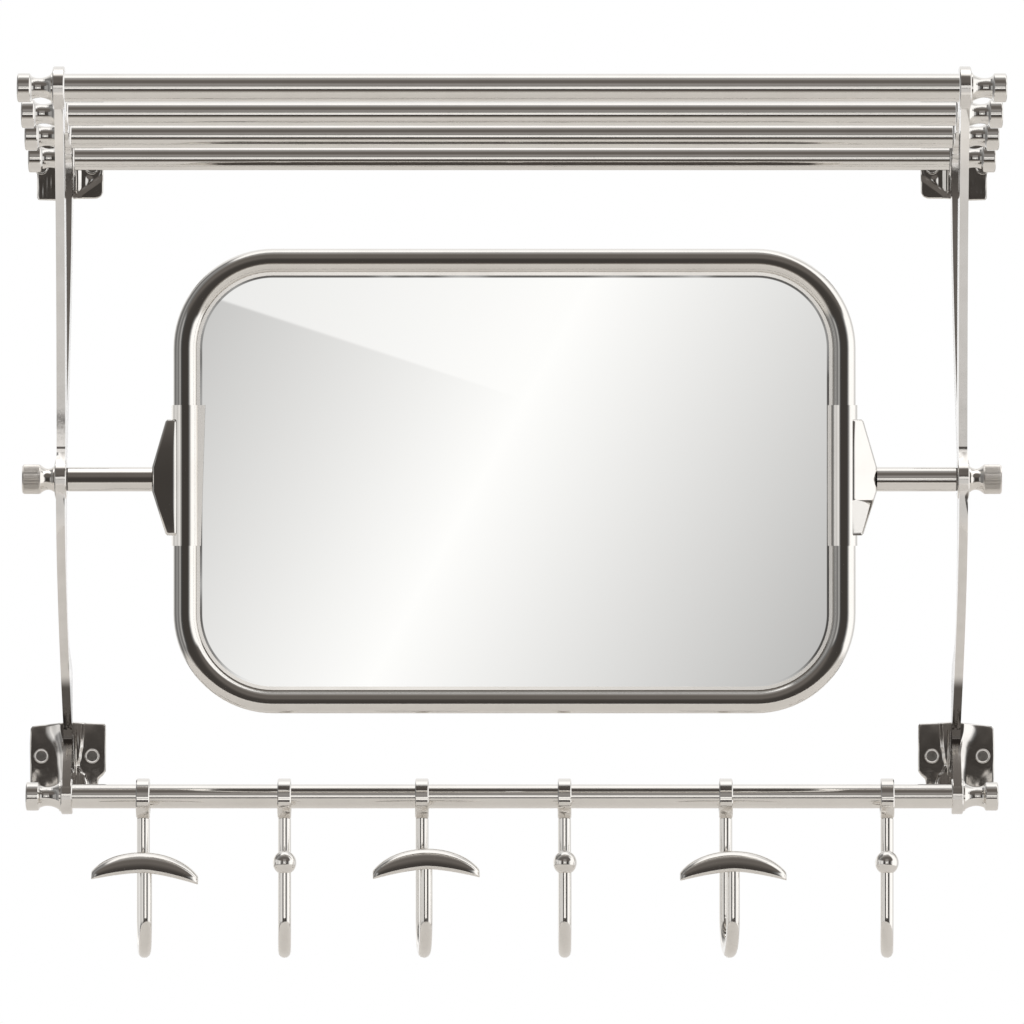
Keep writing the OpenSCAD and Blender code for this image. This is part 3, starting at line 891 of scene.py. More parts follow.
@dataclass
class WallPlates(Assembly):
    """Skins of the four hand-finished wall plates, with their hollows, flutes and fillets.

    A plate's own coordinates are m, the millimetres from the blade's middle plane, less
    than 0 to the outside, and v, the height above the screws. The rim gives insets with
    their drops, the lip a profile of radius and height, the fillet its two radii and
    greatest height, the outlines shares of the size, and the flute the place of its edge
    at each height.
    """

    size: Pair = (61.2, 54.0)
    thick: float = 4.62
    blade: float = 3.4
    hole: float = 5.75
    calm: Pair = (6.4, 10.5)
    rim: Pairs = ((0.0, 1.5), (0.12, 0.9), (0.4, 0.45), (0.9, 0.14), (1.6, 0.0))
    lip: Pairs = (
        (5.3, 3.0), (5.3, 4.7), (5.4, 4.95), (5.6, 5.05), (5.8, 4.95), (5.95, 4.7),
        (6.3, 4.3), (6.3, 3.0))
    grow: float = 0.25
    fillet: Triple = (9.6, 21.6, 7.0)
    spokes: int = 240
    rings: int = 56
    lower: Pairs = (
        (-0.515, -0.5), (0.32, -0.5), (0.345, -0.47), (0.355, -0.345), (0.415, -0.285),
        (0.45, -0.225), (0.45, 0.455), (0.435, 0.48), (0.2, 0.49), (-0.015, 0.51),
        (-0.26, 0.48), (-0.515, 0.445), (-0.54, 0.41), (-0.55, 0.19), (-0.545, -0.465))
    upper: Pairs = (
        (-0.44, -0.49), (-0.13, -0.5), (0.065, -0.47), (0.33, -0.47), (0.385, -0.44),
        (0.415, -0.38), (0.42, 0.45), (0.4, 0.5), (-0.42, 0.5), (-0.45, 0.47),
        (-0.455, -0.46))
    flute: Pairs = (
        (-27.0, 13.5), (-21.9, 12.2), (-15.5, 10.6), (-12.2, 7.6), (-7.4, 5.6), (0.7, 7.2),
        (8.8, 8.4), (16.9, 8.8), (28.0, 9.2))

    @staticmethod
    def step(x: float, start: float, end: float) -> float:
        """A smooth step from 0 at start to 1 at end."""
        t = min(1.0, max(0.0, (x - start) / (end - start)))
        return t * t * (3 - 2 * t)

    def hollows(self, m: float, v: float) -> float:
        """The long waves that hand polishing leaves on both kinds of plate.

        Args:
            m: Distance from the blade's middle plane.
            v: Height above the screws.

        Returns:
            Their height.
        """
        return (0.3 + 0.22 * math.sin(0.16 * m + 0.9) * math.cos(0.12 * v - 0.4)
                + 0.14 * math.sin(0.27 * m - 0.19 * v + 2.0)
                + 0.05 * math.sin(0.5 * m + 0.33 * v))

    def outer_fillet(self, m: float, v: float) -> float:
        """The fillet outside the blade, which widens to the top.

        Args:
            m: Distance from the blade's middle plane.
            v: Height above the screws.

        Returns:
            Its height over the flat.
        """
        low, high, most = self.fillet
        radius = low + (high - low) * self.step(v, -4.0, 24.0)
        deep = max(0.0, radius - (-m - self.blade))
        return min(most, radius - math.sqrt(max(0.0, radius ** 2 - min(deep, radius) ** 2)))

    def lower_relief(self, m: float, v: float) -> float:
        """The relief of a lower plate: its fillet, flute, ribs and facet.

        Args:
            m: Distance from the blade's middle plane.
            v: Height above the screws.

        Returns:
            Its height over the flat.
        """
        if m < 0:
            return self.outer_fillet(m, v)
        edge = self.flute[0][1]
        for (v0, m0), (v1, m1) in zip(self.flute, self.flute[1:]):
            if v0 <= v <= v1:
                edge = m0 + (m1 - m0) * self.step(v, v0, v1)
        raised = 1.7 * self.step(m, edge + 1.6, edge - 1.6)
        ribs = 0.16 * math.sin(2.1 * m + 0.1 * v) * self.step(m, edge, edge - 2.5)
        facet = 0.22 * max(0.0, -13.0 - v) * self.step(m, 19.0, 11.0)
        return raised + ribs + facet

    def upper_relief(self, m: float, v: float) -> float:
        """The relief of an upper plate: its fillet, columns and ledge.

        Args:
            m: Distance from the blade's middle plane.
            v: Height above the screws.

        Returns:
            Its height over the flat.
        """
        if m < 0:
            return 0.35 * self.outer_fillet(m, v) + 0.1 * math.sin(1.9 * m)
        line = -18.0 + 0.72 * (m - 8.0)
        above = self.step(v, line - 1.0, line + 2.0)
        columns = 0.8 * math.sin(0.62 * m - 1.2) * above
        ledge = min(2.4, 0.45 * max(0.0, line - v))
        return 1.2 * self.step(m, 9.0, 5.0) + columns + ledge

    def outline(self, shares: Sequence[Pair]) -> list[Vector]:
        """The plate's outline with rounded corners, at even steps.

        Args:
            shares: The corners, as shares of the plate's width and height.

        Returns:
            One point for each spoke.
        """
        corners = [Vector((a * self.size[0], b * self.size[1])) for a, b in shares]
        sides = list(zip(corners, corners[1:] + corners[:1]))
        total = sum((b - a).length for a, b in sides)
        points = []
        for k in range(self.spokes):
            left = total * k / self.spokes
            for a, b in sides:
                if left <= (b - a).length:
                    points.append(a.lerp(b, left / (b - a).length))
                    break
                left -= (b - a).length
        for _ in range(2):
            points = [(points[k - 1] + points[k] * 2 + points[(k + 1) % len(points)]) / 4
                      for k in range(len(points))]
        middle = sum(points, Vector((0, 0))) / len(points)
        return [p + (p - middle).normalized() * self.grow for p in points]

    def face(self, m: float, v: float, relief: Callable[[float, float], float]) -> float:
        """The finished face, calm round the screws.

        Args:
            m: Distance from the blade's middle plane.
            v: Height above the screws.
            relief: The relief of this kind of plate.

        Returns:
            Its height over the wall.
        """
        near = min(math.hypot(m - s, v) for s in SCREWS)
        calm = self.step(near, *self.calm)
        return self.thick + calm * max(0.0, self.hollows(m, v) + relief(m, v))

    def skin(self, side: int, top: bool) -> Object:
        """Makes the skin of one plate.

        Args:
            side: -1 for the left bracket, 1 for the right one.
            top: Whether it is an upper plate.

        Returns:
            The plate's piece.
        """
        edge = self.outline(self.upper if top else self.lower)
        relief = self.upper_relief if top else self.lower_relief
        middle = sum(edge, Vector((0, 0))) / len(edge)
        rise = HALF_RISE if top else -HALF_RISE
        bm = bmesh.new()

        def put(p: Vector, height: float) -> BMVert:
            """Adds the point of the face at p."""
            x = side * (HALF_SPAN - p[0])
            return bm.verts.new(Vector((x, -height, p[1] + rise)) * MM)

        rows = [[put(p, 0.0) for p in edge]]
        for inset, drop in self.rim:
            inward = [p + (middle - p).normalized() * inset for p in edge]
            rows.append([put(p, self.face(p[0], p[1], relief) - drop) for p in inward])
        for k in range(1, self.rings):
            share = 1 - k / self.rings
            rows.append([])
            for near in inward:
                q = middle + (near - middle) * share
                rows[-1].append(put(q, self.face(q[0], q[1], relief)))
        close(bm, rows)
        outwards(bm)
        holes = [f for f in bm.faces if f.normal.y < -0.2 and self.in_hole(f, side, rise)]
        bmesh.ops.delete(bm, geom=holes, context="FACES")
        name = f"{'left' if side < 0 else 'right'}_{'upper' if top else 'lower'}_plate"
        obj = from_bmesh(bm, name)
        shade(obj, 50.0)
        return obj

    def in_hole(self, face: BMFace, side: int, rise: float) -> bool:
        """Whether a face lies in one of the screws' sinks.

        Args:
            face: The face.
            side: -1 for the left bracket, 1 for the right one.
            rise: The screws' height.

        Returns:
            True if it does.
        """
        centre = face.calc_center_median() / MM
        m = HALF_SPAN - side * centre.x
        return any(math.hypot(m - s, centre.z - rise) < self.hole for s in SCREWS)

    def build(self) -> None:
        """Makes the four skins and the lips round the sinks."""
        finish = CastNickel("plate_nickel")
        for side in (-1, 1):
            for top in (False, True):
                self.stand_in(self.skin(side, top), finish, "rack")
        bm = bmesh.new()
        lathe(bm, self.lip, 40, hollow=True)
        bm.transform(turned(90, "X"))
        lips = from_bmesh(bm, "sink_lips")
        shade(lips, 60.0)
        ScrewRows("lips_of_sinks").run(lips, finish.material())
        self.stand_in(lips, finish, "rack")


class ScrewRows(Repeat):
    """Copies on the eight places of the wall screws: two rows of two pairs."""

    def __init__(self, name: str, any_turn: bool = False) -> None:
        """Builds the tree.

        Args:
            name: The tree's name.
            any_turn: Whether each copy is turned about its axis, from a fixed seed.
        """
        super().__init__(name, {"Across": (2 * HALF_SPAN - sum(SCREWS)) * MM,
                                "Rise": 2 * HALF_RISE * MM,
                                "Gap": (SCREWS[1] - SCREWS[0]) * MM, "Seed": 7})
        pairs = self.on(self.line("Across", 0), self.line("Gap", 0))
        points = self.on(self.line("Rise", 2), pairs)
        turn = None
        if any_turn:
            random = self.tree.add("FunctionNodeRandomValue", {"data_type": "FLOAT"},
                                   {2: 0.0, 3: math.tau, "Seed": self.given["Seed"]})
            turn = self.turn_about(1, random.outputs[1])
        self.finish(self.on(points, self.given["Geometry"], turn))


@dataclass
class WallScrews(Assembly):
    """The eight countersunk cross-head screws."""

    length: float = 32.0
    thread: float = 1.55
    crest: float = 0.38
    pitch: float = 2.2
    shank: float = 2.1
    head: float = 4.1
    top: float = 3.7
    recess: Triple = (5.1, 1.1, 1.4)
    point: Pairs = ((0.12, 0.0), (0.7, 2.0), (1.2, 4.0))
    point_length: float = 6.0
    steps: int = 90

    def ridge(self, angle: float, along: float) -> float:
        """Height of the thread's ridge.

        Args:
            angle: Angle about the screw's axis, in radians.
            along: Place along the axis.

        Returns:
            The height, which is 0 off the thread.
        """
        if not -self.length + 1.0 < along < -0.5:
            return 0.0
        turn = (along / self.pitch - angle / math.tau) % 1.0
        return self.crest * max(0.0, 1.0 - abs(turn - 0.5) * 3.2)

    def screw(self) -> Object:
        """Makes one screw with its point, thread, neck and cross recess.

        Returns:
            The screw.
        """
        start = self.point_length - self.length
        profile = [(radius, up - self.length) for radius, up in self.point]
        profile += [(self.thread, start + (-0.4 - start) * k / self.steps)
                    for k in range(self.steps + 1)]
        profile += [(self.shank, 0.2), (self.shank, self.top - self.head + self.shank),
                    (self.head, self.top - 0.12), (self.head - 0.15, self.top)]
        bm = bmesh.new()
        lathe(bm, profile, 24, self.ridge)
        obj = from_bmesh(bm, "cross_head_screws")
        cutter = bmesh.new()
        length, width, deep = self.recess
        for a, b in ((length, width), (width, length)):
            made = bmesh.ops.create_cube(cutter, size=1.0)["verts"]
            bmesh.ops.scale(cutter, verts=made, vec=Vector((a, b, 2 * deep)) * MM)
            bmesh.ops.translate(cutter, verts=made, vec=(0, 0, self.top * MM))
        tool = from_bmesh(cutter, "recess_tool")
        cut = obj.modifiers.new("recess", "BOOLEAN")
        cut.object = tool
        cut.solver = "EXACT"
        cut.use_self = True
        apply_modifiers(obj)
        bpy.data.objects.remove(tool)
        obj.data.transform(turned(90, "X"))
        shade(obj, 35.0)
        return obj

    def build(self) -> None:
        """Makes the screws in their rows."""
        obj = self.screw()
        ScrewRows("rows_of_screws", any_turn=True).run(obj, Steel().material())
        self.stand_in(obj, Steel(), "rack", "wall_screws")


@dataclass
class Shelf(Assembly):
    """The shelf's tubes, the hook rail, their plugs and finials, and the mirror's tabs.

    The shelf is left out of what other pieces reflect, as the brackets are.
    """

    def build(self) -> None:
        """Dresses the nodes."""
        tubes = [f"shelf_tube_{i}" for i in range(1, 5)] + ["hook_rail"]
        self.dress(Nickel("drawn_nickel", streak=(18.0, 700.0, 700.0)), tubes)
        finials = [f"{side}_finial_{i}" for side in ("left", "right") for i in range(1, 5)]
        plugs = [f"shelf_plugs_{i}" for i in range(1, 5)]
        for name in tubes[:4] + finials + plugs:
            self.node(name).visible_glossy = False
        self.dress(Nickel("turned_nickel", streak=(900.0, 60.0, 60.0)),
                   finials + ["left_rail_finial", "right_rail_finial"])
        self.dress(Steel(), plugs + ["rail_plugs", "shaft_plugs", "back_clips"])


@dataclass
class Mirror(Assembly):
    """The framed mirror with its board, sleeves, wings, shafts and washers."""

    wing_ease: float = 2.2 * MM
    seat: float = 0.267
    lip_edge: float = 0.252
    lip_skin: float = 0.12 * MM

    def build(self) -> None:
        """Dresses the nodes and eases the wings."""
        self.dress(Nickel("frame_nickel", streak=(60.0, 700.0, 60.0)),
                   ["upper_frame_tube", "lower_frame_tube", "left_sleeve", "right_sleeve"])
        self.dress(Nickel("rim_nickel", roughness=0.09), ["glass_rim"])
        self.dress(Nickel("shaft_nickel", streak=(18.0, 700.0, 700.0)),
                   ["left_shaft", "right_shaft"])
        self.dress(SilveredGlass(), ["mirror_glass"])
        self.dress(Board("back_board", Slot.BOARD), ["back_panel"])
        self.dress(Board("washer_fibre", Slot.FIBRE, tint=(0.30, 0.28, 0.26)),
                   ["pivot_washers"])
        for side in ("left", "right"):
            self.stand_in(self.lip(side), Nickel("lip_nickel", roughness=0.09), "mirror")
            piece = merged_copy(self.node(f"{side}_wing"), f"{side}_bevelled_wing")
            self.round_wing(piece)
            shade(piece, 50.0)
            finish = BowedNickel() if side == "left" else BowedNickel(
                "leaning_nickel", edge=0.2712, lean=0.55)
            self.stand_in(piece, finish, "mirror", f"{side}_wing")

    def round_wing(self, piece: Object) -> None:
        """Rounds the long front and back edges of a wing.

        Args:
            piece: The wing.
        """
        bm = bmesh.new()
        bm.from_mesh(piece.data)
        edges = []
        for edge in bm.edges:
            flats = [abs(f.normal.y) > 0.999 for f in edge.link_faces]
            if sum(flats) == 1 and edge.calc_length() > 2.0 * MM:
                side = edge.link_faces[1 - flats.index(True)]
                if abs(side.normal.y) < 0.01 and abs(side.calc_center_median().x) > self.seat:
                    edges.append(edge)
        bmesh.ops.bevel(bm, geom=edges, offset=self.wing_ease, segments=5, profile=0.5,
                        affect="EDGES", clamp_overlap=False)
        bm.to_mesh(piece.data)
        bm.free()

    def lip(self, side: str) -> Object:
        """A bright skin on the flat front of a sleeve's lip.

        Args:
            side: "left" or "right".

        Returns:
            The skin.
        """
        bm = bmesh.new()
        bm.from_mesh(self.node(f"{side}_sleeve").data)
        hidden = [f for f in bm.faces if f.normal.y > -0.9999 or f.calc_area() < 1e-7
                  or abs(f.calc_center_median().x) > self.lip_edge]
        bmesh.ops.delete(bm, geom=hidden, context="FACES")
        made = bmesh.ops.extrude_face_region(bm, geom=list(bm.faces))["geom"]
        moved = [v for v in made if isinstance(v, BMVert)]
        bmesh.ops.translate(bm, verts=moved, vec=(0, -self.lip_skin, 0))
        outwards(bm)
        return from_bmesh(bm, f"{side}_bright_lip")


class RidgeRound(Repeat):
    """Copies of a ridge at even steps round the Z axis."""

    def __init__(self, count: int, radius: float) -> None:
        """Builds the tree.

        Args:
            count: Number of ridges.
            radius: Distance from the axis, in millimetres.
        """
        super().__init__("ridges_round_a_head", {"Count": count, "Radius": radius * MM})
        circle = self.tree.add("GeometryNodeMeshCircle", None,
                               {"Vertices": self.given["Count"],
                                "Radius": self.given["Radius"]})
        index = self.tree.add("GeometryNodeInputIndex")
        turn = self.tree.math("DIVIDE", index.outputs[0], self.given["Count"]) * math.tau
        self.finish(self.on(circle.outputs[0], self.given["Geometry"],
                            self.turn_about(2, turn)))


@dataclass
class Knobs(Assembly):
    """The two clamping knobs, with their straight knurl."""

    eye_face: float = 360.6
    place: Pair = (168.0, -14.9)
    radius: float = 11.6
    length: float = 25.9
    head: float = 14.6
    stud: Pair = (4.0, -24.2)
    foot_in: float = 1.1
    foot_top: float = 1.2
    waist: float = 2.3
    waist_steps: int = 14
    ridges: int = 60
    ridge: float = 0.34

    def body(self) -> list[Pair]:
        """The knob's profile, from the end of its stud to its head.

        Returns:
            Pairs of radius and distance from the eye.
        """
        neck = self.length - self.head
        core = self.radius - self.ridge
        foot = core - self.foot_in
        points = [(self.stud[0] - 0.4, self.stud[1]), (self.stud[0], self.stud[1] + 0.4),
                  (self.stud[0], 0.1), (foot - 0.3, 0.1), (foot, 0.4),
                  (foot, self.foot_top)]
        for k in range(1, self.waist_steps):
            t = k / self.waist_steps
            dip = math.sin(math.pi * t) ** 0.9 * self.waist
            points.append((foot + (core - foot) * t - dip,
                           self.foot_top + (neck - self.foot_top) * t))
        return points + [(core - 0.25, neck), (core, neck + 0.3),
                         (core, self.length - 0.8), (core - 0.25, self.length - 0.25),
                         (core - 0.9, self.length), (core - 5.0, self.length)]

    def bar(self) -> Object:
        """Makes one ridge of the knurl, at the origin, facing X.

        Returns:
            The ridge.
        """
        width = math.pi * self.radius / self.ridges * 0.92
        start, end = self.length - self.head + 0.7, self.length - 0.9
        bm = bmesh.new()
        rows = []
        for z, share in ((start, 0.0), (start + 0.4, 0.8), (start + 0.9, 1.0),
                         (end - 0.7, 1.0), (end - 0.2, 0.8), (end, 0.0)):
            flank, top = self.ridge * 0.75 * share, self.ridge * share
            section = [(-0.3, -width), (0.02, -width), (flank, -width * 0.4), (top, 0.0),
                       (flank, width * 0.4), (0.02, width), (-0.3, width)]
            rows.append([bm.verts.new(Vector((x, y, z)) * MM) for x, y in section])
        close(bm, rows)
        outwards(bm)
        return from_bmesh(bm, "knurl")

    def build(self) -> None:
        """Makes both knobs."""
        finish = KnurledNickel()
        for side, name in ((-1, "left"), (1, "right")):
            knurl = self.bar()
            ridges = RidgeRound(self.ridges, self.radius - self.ridge)
            ridges.run(knurl, finish.material())
            bm = bmesh.new()
            lathe(bm, self.body(), 72)
            bm.from_mesh(knurl.data)
            bpy.data.objects.remove(knurl)
            obj = from_bmesh(bm, f"{name}_knurled_knob")
            place = Vector((side * self.eye_face, -self.place[0], self.place[1])) * MM
            obj.data.transform(Matrix.Translation(place) @ turned(90 * side, "Y"))
            shade(obj, 38.0)
            self.stand_in(obj, finish, f"knob_{name}", f"{name}_knob")


@dataclass
class Hooks(Assembly):
    """The six sliding hooks: ring, rod, and ball or crescent."""

    places: tuple[float, ...] = (-295.0, -182.0, -72.0, 42.0, 171.0, 300.0)
    turns: tuple[float, ...] = (4.2, 1.5, 3.8, 0.0, 4.7, -2.5)
    lifts: tuple[float, ...] = (0.0, 0.0, 3.0, 0.0, 1.1, 0.0)
    rolls: tuple[float, ...] = (3.0, 0.0, -0.8, 0.0, 0.0, 0.0)
    ring_out: float = 77.0
    ring_z: float = -270.0
    reach: float = 56.0
    tip_down: float = 49.0
    length: float = 85.0
    height: float = 16.2
    tip_height: float = 6.5
    depth: float = 15.0
    droop: float = 17.0
    lean: float = 0.27
    squarer: float = 0.4
    tip: Pairs = ((1.0, 0.8), (0.997, 0.93), (0.985, 1.0))
    steps: int = 40
    sides: int = 48

    def build(self) -> None:
        """Dresses the rings, rods and balls and makes the crescents."""
        self.dress(Nickel("ring_nickel", streak=(900.0, 80.0, 80.0)),
                   [f"ring_{i}" for i in range(1, 7)])
        self.dress(Nickel("rod_nickel", roughness=0.07),
                   [f"hook_rod_{i}" for i in range(1, 7)] + ["ball_2", "ball_4", "ball_6"])
        for i in (1, 3, 5):
            self.stand_in(self.crescent(i), Nickel("crescent_nickel", roughness=0.08),
                          f"hook_{i}", f"crescent_{i}")

    def section(self, u: float, ease: float) -> list[Vector]:
        """One upright section of the crescent.

        Args:
            u: Place along the crescent, from -1 to 1.
            ease: Share of the full size, below 1 at the rim of a cut tip.

        Returns:
            The section's points.
        """
        def arch(v: float) -> float:
            """Drop of the top edge, as a share."""
            return 1 - math.sqrt(1 - (0.9 * v) ** 2)
        v = abs(u)
        up = self.height / 2 - self.droop * arch(v) / arch(1)
        low = -self.height / 2 - (self.droop + self.tip_height - self.height) * v ** 1.5
        mid, half = (up + low) / 2, (up - low) / 2 * ease
        thick = self.depth / 2 * (0.3 + 0.7 * math.sqrt(max(0.0, 1 - v ** 4))) * ease
        points = []
        for s in range(self.sides):
            turn = s * math.tau / self.sides
            along, lift = math.cos(turn), math.sin(turn) * half
            out = math.copysign(abs(along) ** (self.squarer if lift < -1e-9 else 1.0), along)
            points.append(Vector((u * self.length / 2, out * thick + self.lean * lift,
                                  mid + lift)))
        return points

    def crescent(self, i: int) -> Object:
        """Makes crescent number i, with eased cut tips.

        Args:
            i: The hook's number, from 1.

        Returns:
            The crescent.
        """
        k = i - 1
        place = (Matrix.Translation((self.places[k], -self.ring_out, self.ring_z))
                 @ turned(self.turns[k], "Z")
                 @ Matrix.Translation((0, -self.reach, -self.tip_down + self.lifts[k]))
                 @ turned(self.rolls[k], "Y"))
        full = self.tip[-1][0]
        row = [(-u, e) for u, e in self.tip]
        row += [(full * (2 * s / self.steps - 1), 1.0) for s in range(1, self.steps)]
        row += reversed(self.tip)
        bm = bmesh.new()
        rings = [[bm.verts.new((place @ p) * MM) for p in self.section(u, e)] for u, e in row]
        close(bm, rings)
        outwards(bm)
        obj = from_bmesh(bm, f"smooth_crescent_{i}")
        shade(obj, 40.0)
        return obj


# ------------------------------------------------------------------ studio


Pattern = Callable[[Value, Value, Value], Any]


@dataclass
class Studio:
    """White room, dark camera side, pale floor, four cards and the camera.

    The ramps give the light at an angle in degrees, upwards and sideways from the camera.
    The cone is in degrees too, the roof and the ground are heights of a direction one metre
    long, and places are in metres. A pair is where something starts and ends.
    """

    floor_place: Triple = (0.0, -0.1, -0.62)
    floor_radius: float = 1.15
    floor_colour: Triple = (0.92, 0.895, 0.86)
    floor_glow: Triple = (1.0, 0.97, 0.93)
    floor_light: float = 0.14
    roof: Pair = (0.86, 0.94)
    ground: Pair = (0.36, 0.5)
    cone: Pair = (42.0, 24.0)
    crest_slope: float = 0.55
    crest_place: float = -0.079
    crest_light: float = 0.985
    crest_fall: float = 0.723
    corner_slope: float = 0.3276
    corner_height: float = 0.1925
    corner_lift: float = 0.443
    corner_edge: Pair = (-0.003, 0.003)
    corner_fade: Pair = (0.01, -0.05)
    over_glass: Pair = (0.43, 0.5)
    under_glass: Pair = (0.34, 0.4)
    round_light: float = 1.2
    beyond: Pair = (1.0, 1.3)
    far_light: float = 0.2
    far_fade: Pair = (7.0, 3.0)
    lens: float = 307.6
    front_x: Pair = (-2.2, 2.2)
    front_y: float = -7.7
    front_z: Pair = (-1.14, 6.56)
    low_x: Pair = (-2.4, 2.4)
    low_y: float = -4.0
    low_z: Pair = (-4.2, 0.95)
    top_x: Pair = (-3.0, 3.0)
    top_y: Pair = (-1.8, 0.3)
    top_z: float = 3.0
    side_radius: float = 4.0
    side_turns: tuple[int, int, int] = (-150, -23, 6)
    side_z: Pair = (-1.3, 1.3)
    overhead: float = 1.3
    front: Pairs = (
        (-180, 1.0), (-160, 1.0), (-140, 0.45), (-118, 0.65), (-100, 0.72), (-88, 0.78),
        (-70, 0.8), (-52, 0.74), (-42, 0.62), (-36, 0.48), (-31, 0.3), (-26, 0.12),
        (-20, 0.06), (0, 0.06), (12, 0.07), (20, 0.11), (30, 0.16), (45, 0.15), (55, 0.16),
        (62, 0.2), (70, 0.32), (80, 0.42), (88, 0.6), (95, 1.0), (101, 1.3), (110, 1.3),
        (124, 1.1), (150, 1.0), (180, 1.0))
    around: Pairs = (
        (-180, 1.0), (-150, 1.0), (-133, 0.6), (-113, 0.2), (-97, 0.2), (-84, 0.4),
        (-71, 0.2), (-60, 0.25), (-49, 0.55), (-39, 0.15), (-30, 0.07), (30, 0.2), (39, 0.3),
        (47, 0.8), (56, 1.3), (100, 1.3), (114, 0.95), (133, 0.7), (150, 1.0), (180, 1.0))
    warm: Triple = (1.0, 0.965, 0.91)
    dusk: Triple = (1.0, 0.91, 0.84)

    @staticmethod
    def ramp(tree: NodeTree, angle: Value, stops: Pairs) -> Socket:
        """A ramp of grey over an angle, halved to stay under 1.

        Args:
            tree: The world's tree.
            angle: The angle, from -180 to 180 degrees.
            stops: Angles, with the light at each.

        Returns:
            The ramp's colour.
        """
        node = tree.add("ShaderNodeValToRGB", {"stops": [
            ((a + 180) / 360, (v / 2, v / 2, v / 2)) for a, v in stops]},
            {0: angle / 360.0 + 0.5})
        return node.outputs[0]

    def world(self) -> None:
        """Lights the scene from all round, white behind and over, dark at the camera."""
        world = bpy.data.worlds.new("studio")
        bpy.context.scene.world = world
        world.use_nodes = True
        tree = NodeTree(world.node_tree)
        x, y, z = tree.axes(tree.add("ShaderNodeTexCoord").outputs["Generated"])
        to_camera = -y
        degrees = 180.0 / math.pi
        lift = tree.math("ARCTAN2", z, to_camera) * degrees
        turn = tree.math("ARCTAN2", x, to_camera) * degrees
        upright = self.ramp(tree, lift, self.front)
        sideways = self.ramp(tree, turn, self.around)
        ahead = (abs(turn) - 30.0 * abs(z).rise(0.15, 0.4)).rise(*self.cone)
        above = z.rise(*self.roof) * (1.0 - ahead)
        below = (-z).rise(*self.ground)
        near = tree.mix(ahead, sideways, upright)
        top = self.overhead / 2
        room = tree.mix(above, near, (top, top, top))
        room = tree.mix(below, room, tree.tinted(upright, self.warm))
        lit = Value(tree, upright) * ahead + (1.0 - ahead)
        room = tree.mix(lit.rise(0.06, 0.25), tree.tinted(room, self.dusk), room)
        studio = tree.add("ShaderNodeBackground", None, {"Color": room, "Strength": 2.0})
        white = tree.add("ShaderNodeBackground", None,
                         {"Color": (1.0, 1.0, 1.0, 1.0), "Strength": 1.0})
        path = tree.add("ShaderNodeLightPath")
        seen = Value(tree, path.outputs["Is Camera Ray"])
        clear = tree.math("MAXIMUM", seen, path.outputs["Is Transmission Ray"])
        both = tree.add("ShaderNodeMixShader", None,
                        {0: clear, 1: studio.outputs[0], 2: white.outputs[0]})
        tree.add("ShaderNodeOutputWorld", None, {"Surface": both.outputs[0]})

    def floor(self) -> None:
        """A pale floor below the rack."""
        bm = bmesh.new()
        bmesh.ops.create_circle(bm, cap_ends=True, segments=96, radius=self.floor_radius)
        bmesh.ops.translate(bm, verts=bm.verts, vec=self.floor_place)
        obj = from_bmesh(bm, "floor")
        material, tree = new_material("pale_floor")
        shader = tree.add("ShaderNodeBsdfPrincipled", None,
                          {"Base Color": (*self.floor_colour, 1.0), "Roughness": 0.9,
                           "Emission Color": (*self.floor_glow, 1.0),
                           "Emission Strength": self.floor_light})
        tree.add("ShaderNodeOutputMaterial", None, {"Surface": shader.outputs[0]})
        obj.data.materials.append(material)

    def card(self, name: str, rows: Sequence[Sequence[Vector]], pattern: Pattern,
             lit: Iterable[Object]) -> None:
        """A lit card out of the camera's view, which only some pieces reflect.

        Args:
            name: Its name.
            rows: Two rows of points that its faces stand between.
            pattern: Gives its strength from the X, Y and Z values.
            lit: The pieces that the card is linked to.
        """
        bm = bmesh.new()
        low, high = [[bm.verts.new(p) for p in row] for row in rows]
        for k in range(len(low) - 1):
            bm.faces.new((low[k], low[k + 1], high[k + 1], high[k]))
        obj = from_bmesh(bm, name)
        material, tree = new_material(name)
        strength = pattern(*tree.axes(tree.position()))
        light = tree.add("ShaderNodeEmission", None,
                         {"Color": (1.0, 0.995, 0.985, 1.0), "Strength": strength})
        clear = tree.add("ShaderNodeBsdfTransparent")
        both = tree.add("ShaderNodeAddShader", None, {0: light.outputs[0], 1: clear.outputs[0]})
        tree.add("ShaderNodeOutputMaterial", None, {"Surface": both.outputs[0]})
        obj.data.materials.append(material)
        obj.visible_camera = False
        obj.visible_diffuse = False
        obj.visible_shadow = False
        group = bpy.data.collections.new(f"lit_by_{name}")
        for piece in lit:
            group.objects.link(piece)
        obj.light_linking.receiver_collection = group

    def front_pattern(self, x: Value, y: Value, z: Value) -> Value:
        """Strength of the front card: one soft diagonal crest and a brighter corner for the
        glass, and plain white above and below what the glass shows.

        Args:
            x: Place across the card.
            y: Depth, the same all over the card; not used.
            z: Height.

        Returns:
            The strength.
        """
        height = z - EYE[2]
        off = x - self.crest_slope * height - self.crest_place
        corner = (height + self.corner_slope * x - self.corner_height).rise(
            *self.corner_edge)
        corner = corner * off.rise(*self.corner_fade)
        fall = abs(off) * (self.crest_fall - self.corner_lift * corner)
        rim = height.rise(*self.over_glass) + (-height).rise(*self.under_glass)
        near = (self.crest_light - fall) * (1.0 - rim) + self.round_light * rim
        beyond = height.rise(*self.beyond)
        glow = self.far_light * height.rise(*self.far_fade)
        return x.tree.math("MAXIMUM", near * (1.0 - beyond) + glow * beyond, 0.0)

    @staticmethod
    def low_pattern(x: Value, y: Value, z: Value) -> Value:
        """Strength of the low card: white on top, a dark line, and grey fading to the floor."""
        grey = 0.66 * z.rise(-3.7, -1.8) * z.rise(0.0, -0.06)
        return grey + 0.9 * z.rise(0.06, 0.12)

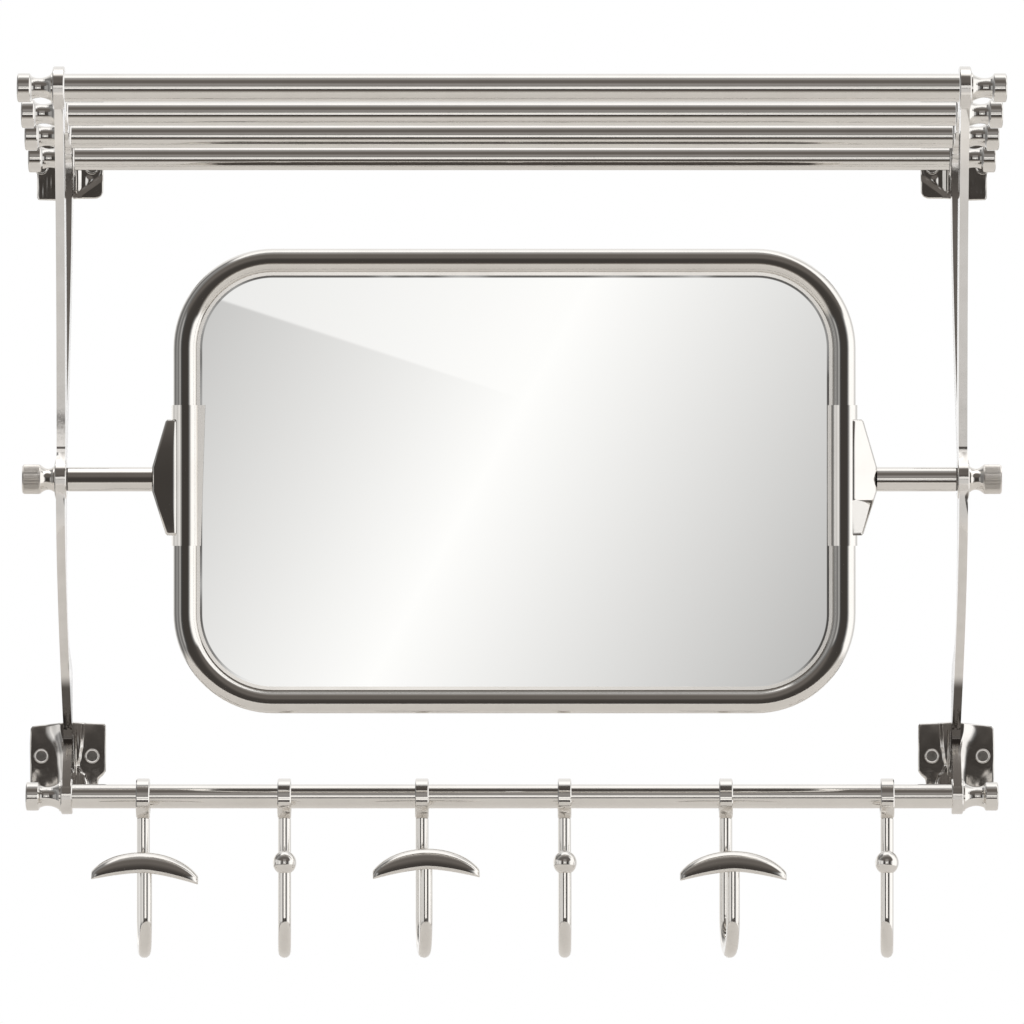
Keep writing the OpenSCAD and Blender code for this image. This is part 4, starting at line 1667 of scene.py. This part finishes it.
    @staticmethod
    def top_pattern(x: Value, y: Value, z: Value) -> Value:
        """Strength of the top card, which fades to its front edge."""
        return (-y).rise(1.75, 0.8)

    @staticmethod
    def side_pattern(x: Value, y: Value, z: Value) -> Value:
        """Strength of the side card, which fades to its edges."""
        return 0.5 * (-x).rise(1.7, 2.7) * abs(z).rise(1.3, 0.9)

    def cards(self, lit: Callable[..., list[Object]]) -> None:
        """Makes the four cards.

        Args:
            lit: Finds the pieces whose names start with any of the given words.
        """
        rows = [[Vector((x, self.front_y, z)) for x in self.front_x] for z in self.front_z]
        self.card("front_card", rows, self.front_pattern,
                  lit("shelf_tube", "hook_r", "ball", "ring", "left_finial", "right_finial",
                      "left_rail", "right_rail", "mirror_glass", "glass_rim", "right_shaft",
                      "left_bright", "right_bright"))
        rows = [[Vector((x, self.low_y, z)) for x in self.low_x] for z in self.low_z]
        self.card("low_card", rows, self.low_pattern, lit("left_cast", "right_cast"))
        rows = [[Vector((x, y, self.top_z)) for x in self.top_x] for y in self.top_y]
        self.card("top_card", rows, self.top_pattern,
                  lit("left_cast", "right_cast", "left_shaft", "left_knurled", "right_knurled"))
        turns = [math.radians(a) for a in range(*self.side_turns)]
        out = self.side_radius
        rows = [[Vector((out * math.sin(a), -out * math.cos(a), z)) for a in turns]
                for z in self.side_z]
        self.card("side_card", rows, self.side_pattern,
                  lit("hook_rod", "ball", "left_sleeve", "right_sleeve",
                      "left_lower", "left_upper", "right_lower", "right_upper", "sink_lips"))

    def camera(self) -> None:
        """The camera, level with the mirror and far away."""
        data = bpy.data.cameras.new("camera")
        data.lens = self.lens
        data.sensor_width = 36.0
        data.clip_end = 100.0
        obj = bpy.data.objects.new("camera", data)
        obj.location = EYE
        obj.rotation_euler = (math.radians(90.0), 0.0, 0.0)
        bpy.context.scene.collection.objects.link(obj)
        bpy.context.scene.camera = obj
        bpy.context.scene.view_settings.view_transform = "Standard"

    def build(self, frame: dict[str, Any]) -> None:
        """Sets up the whole studio.

        Args:
            frame: The loaded frame.
        """
        self.world()
        self.floor()
        self.camera()
        named = dict(frame["nodes"])
        named.update({o.name: o for o in bpy.data.objects if o.type == "MESH"})
        self.cards(lambda *words: [o for n, o in named.items() if n.startswith(words)])


def main() -> None:
    """Builds the looks in order, then the studio."""
    logging.basicConfig(level=logging.INFO, format="%(name)s: %(message)s")
    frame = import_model()
    for assembly in (Brackets(frame), WallPlates(frame), WallScrews(frame), Shelf(frame),
                     Mirror(frame), Knobs(frame), Hooks(frame)):
        assembly.build()
    Studio().build(frame)


if __name__ == "__main__":
    main()
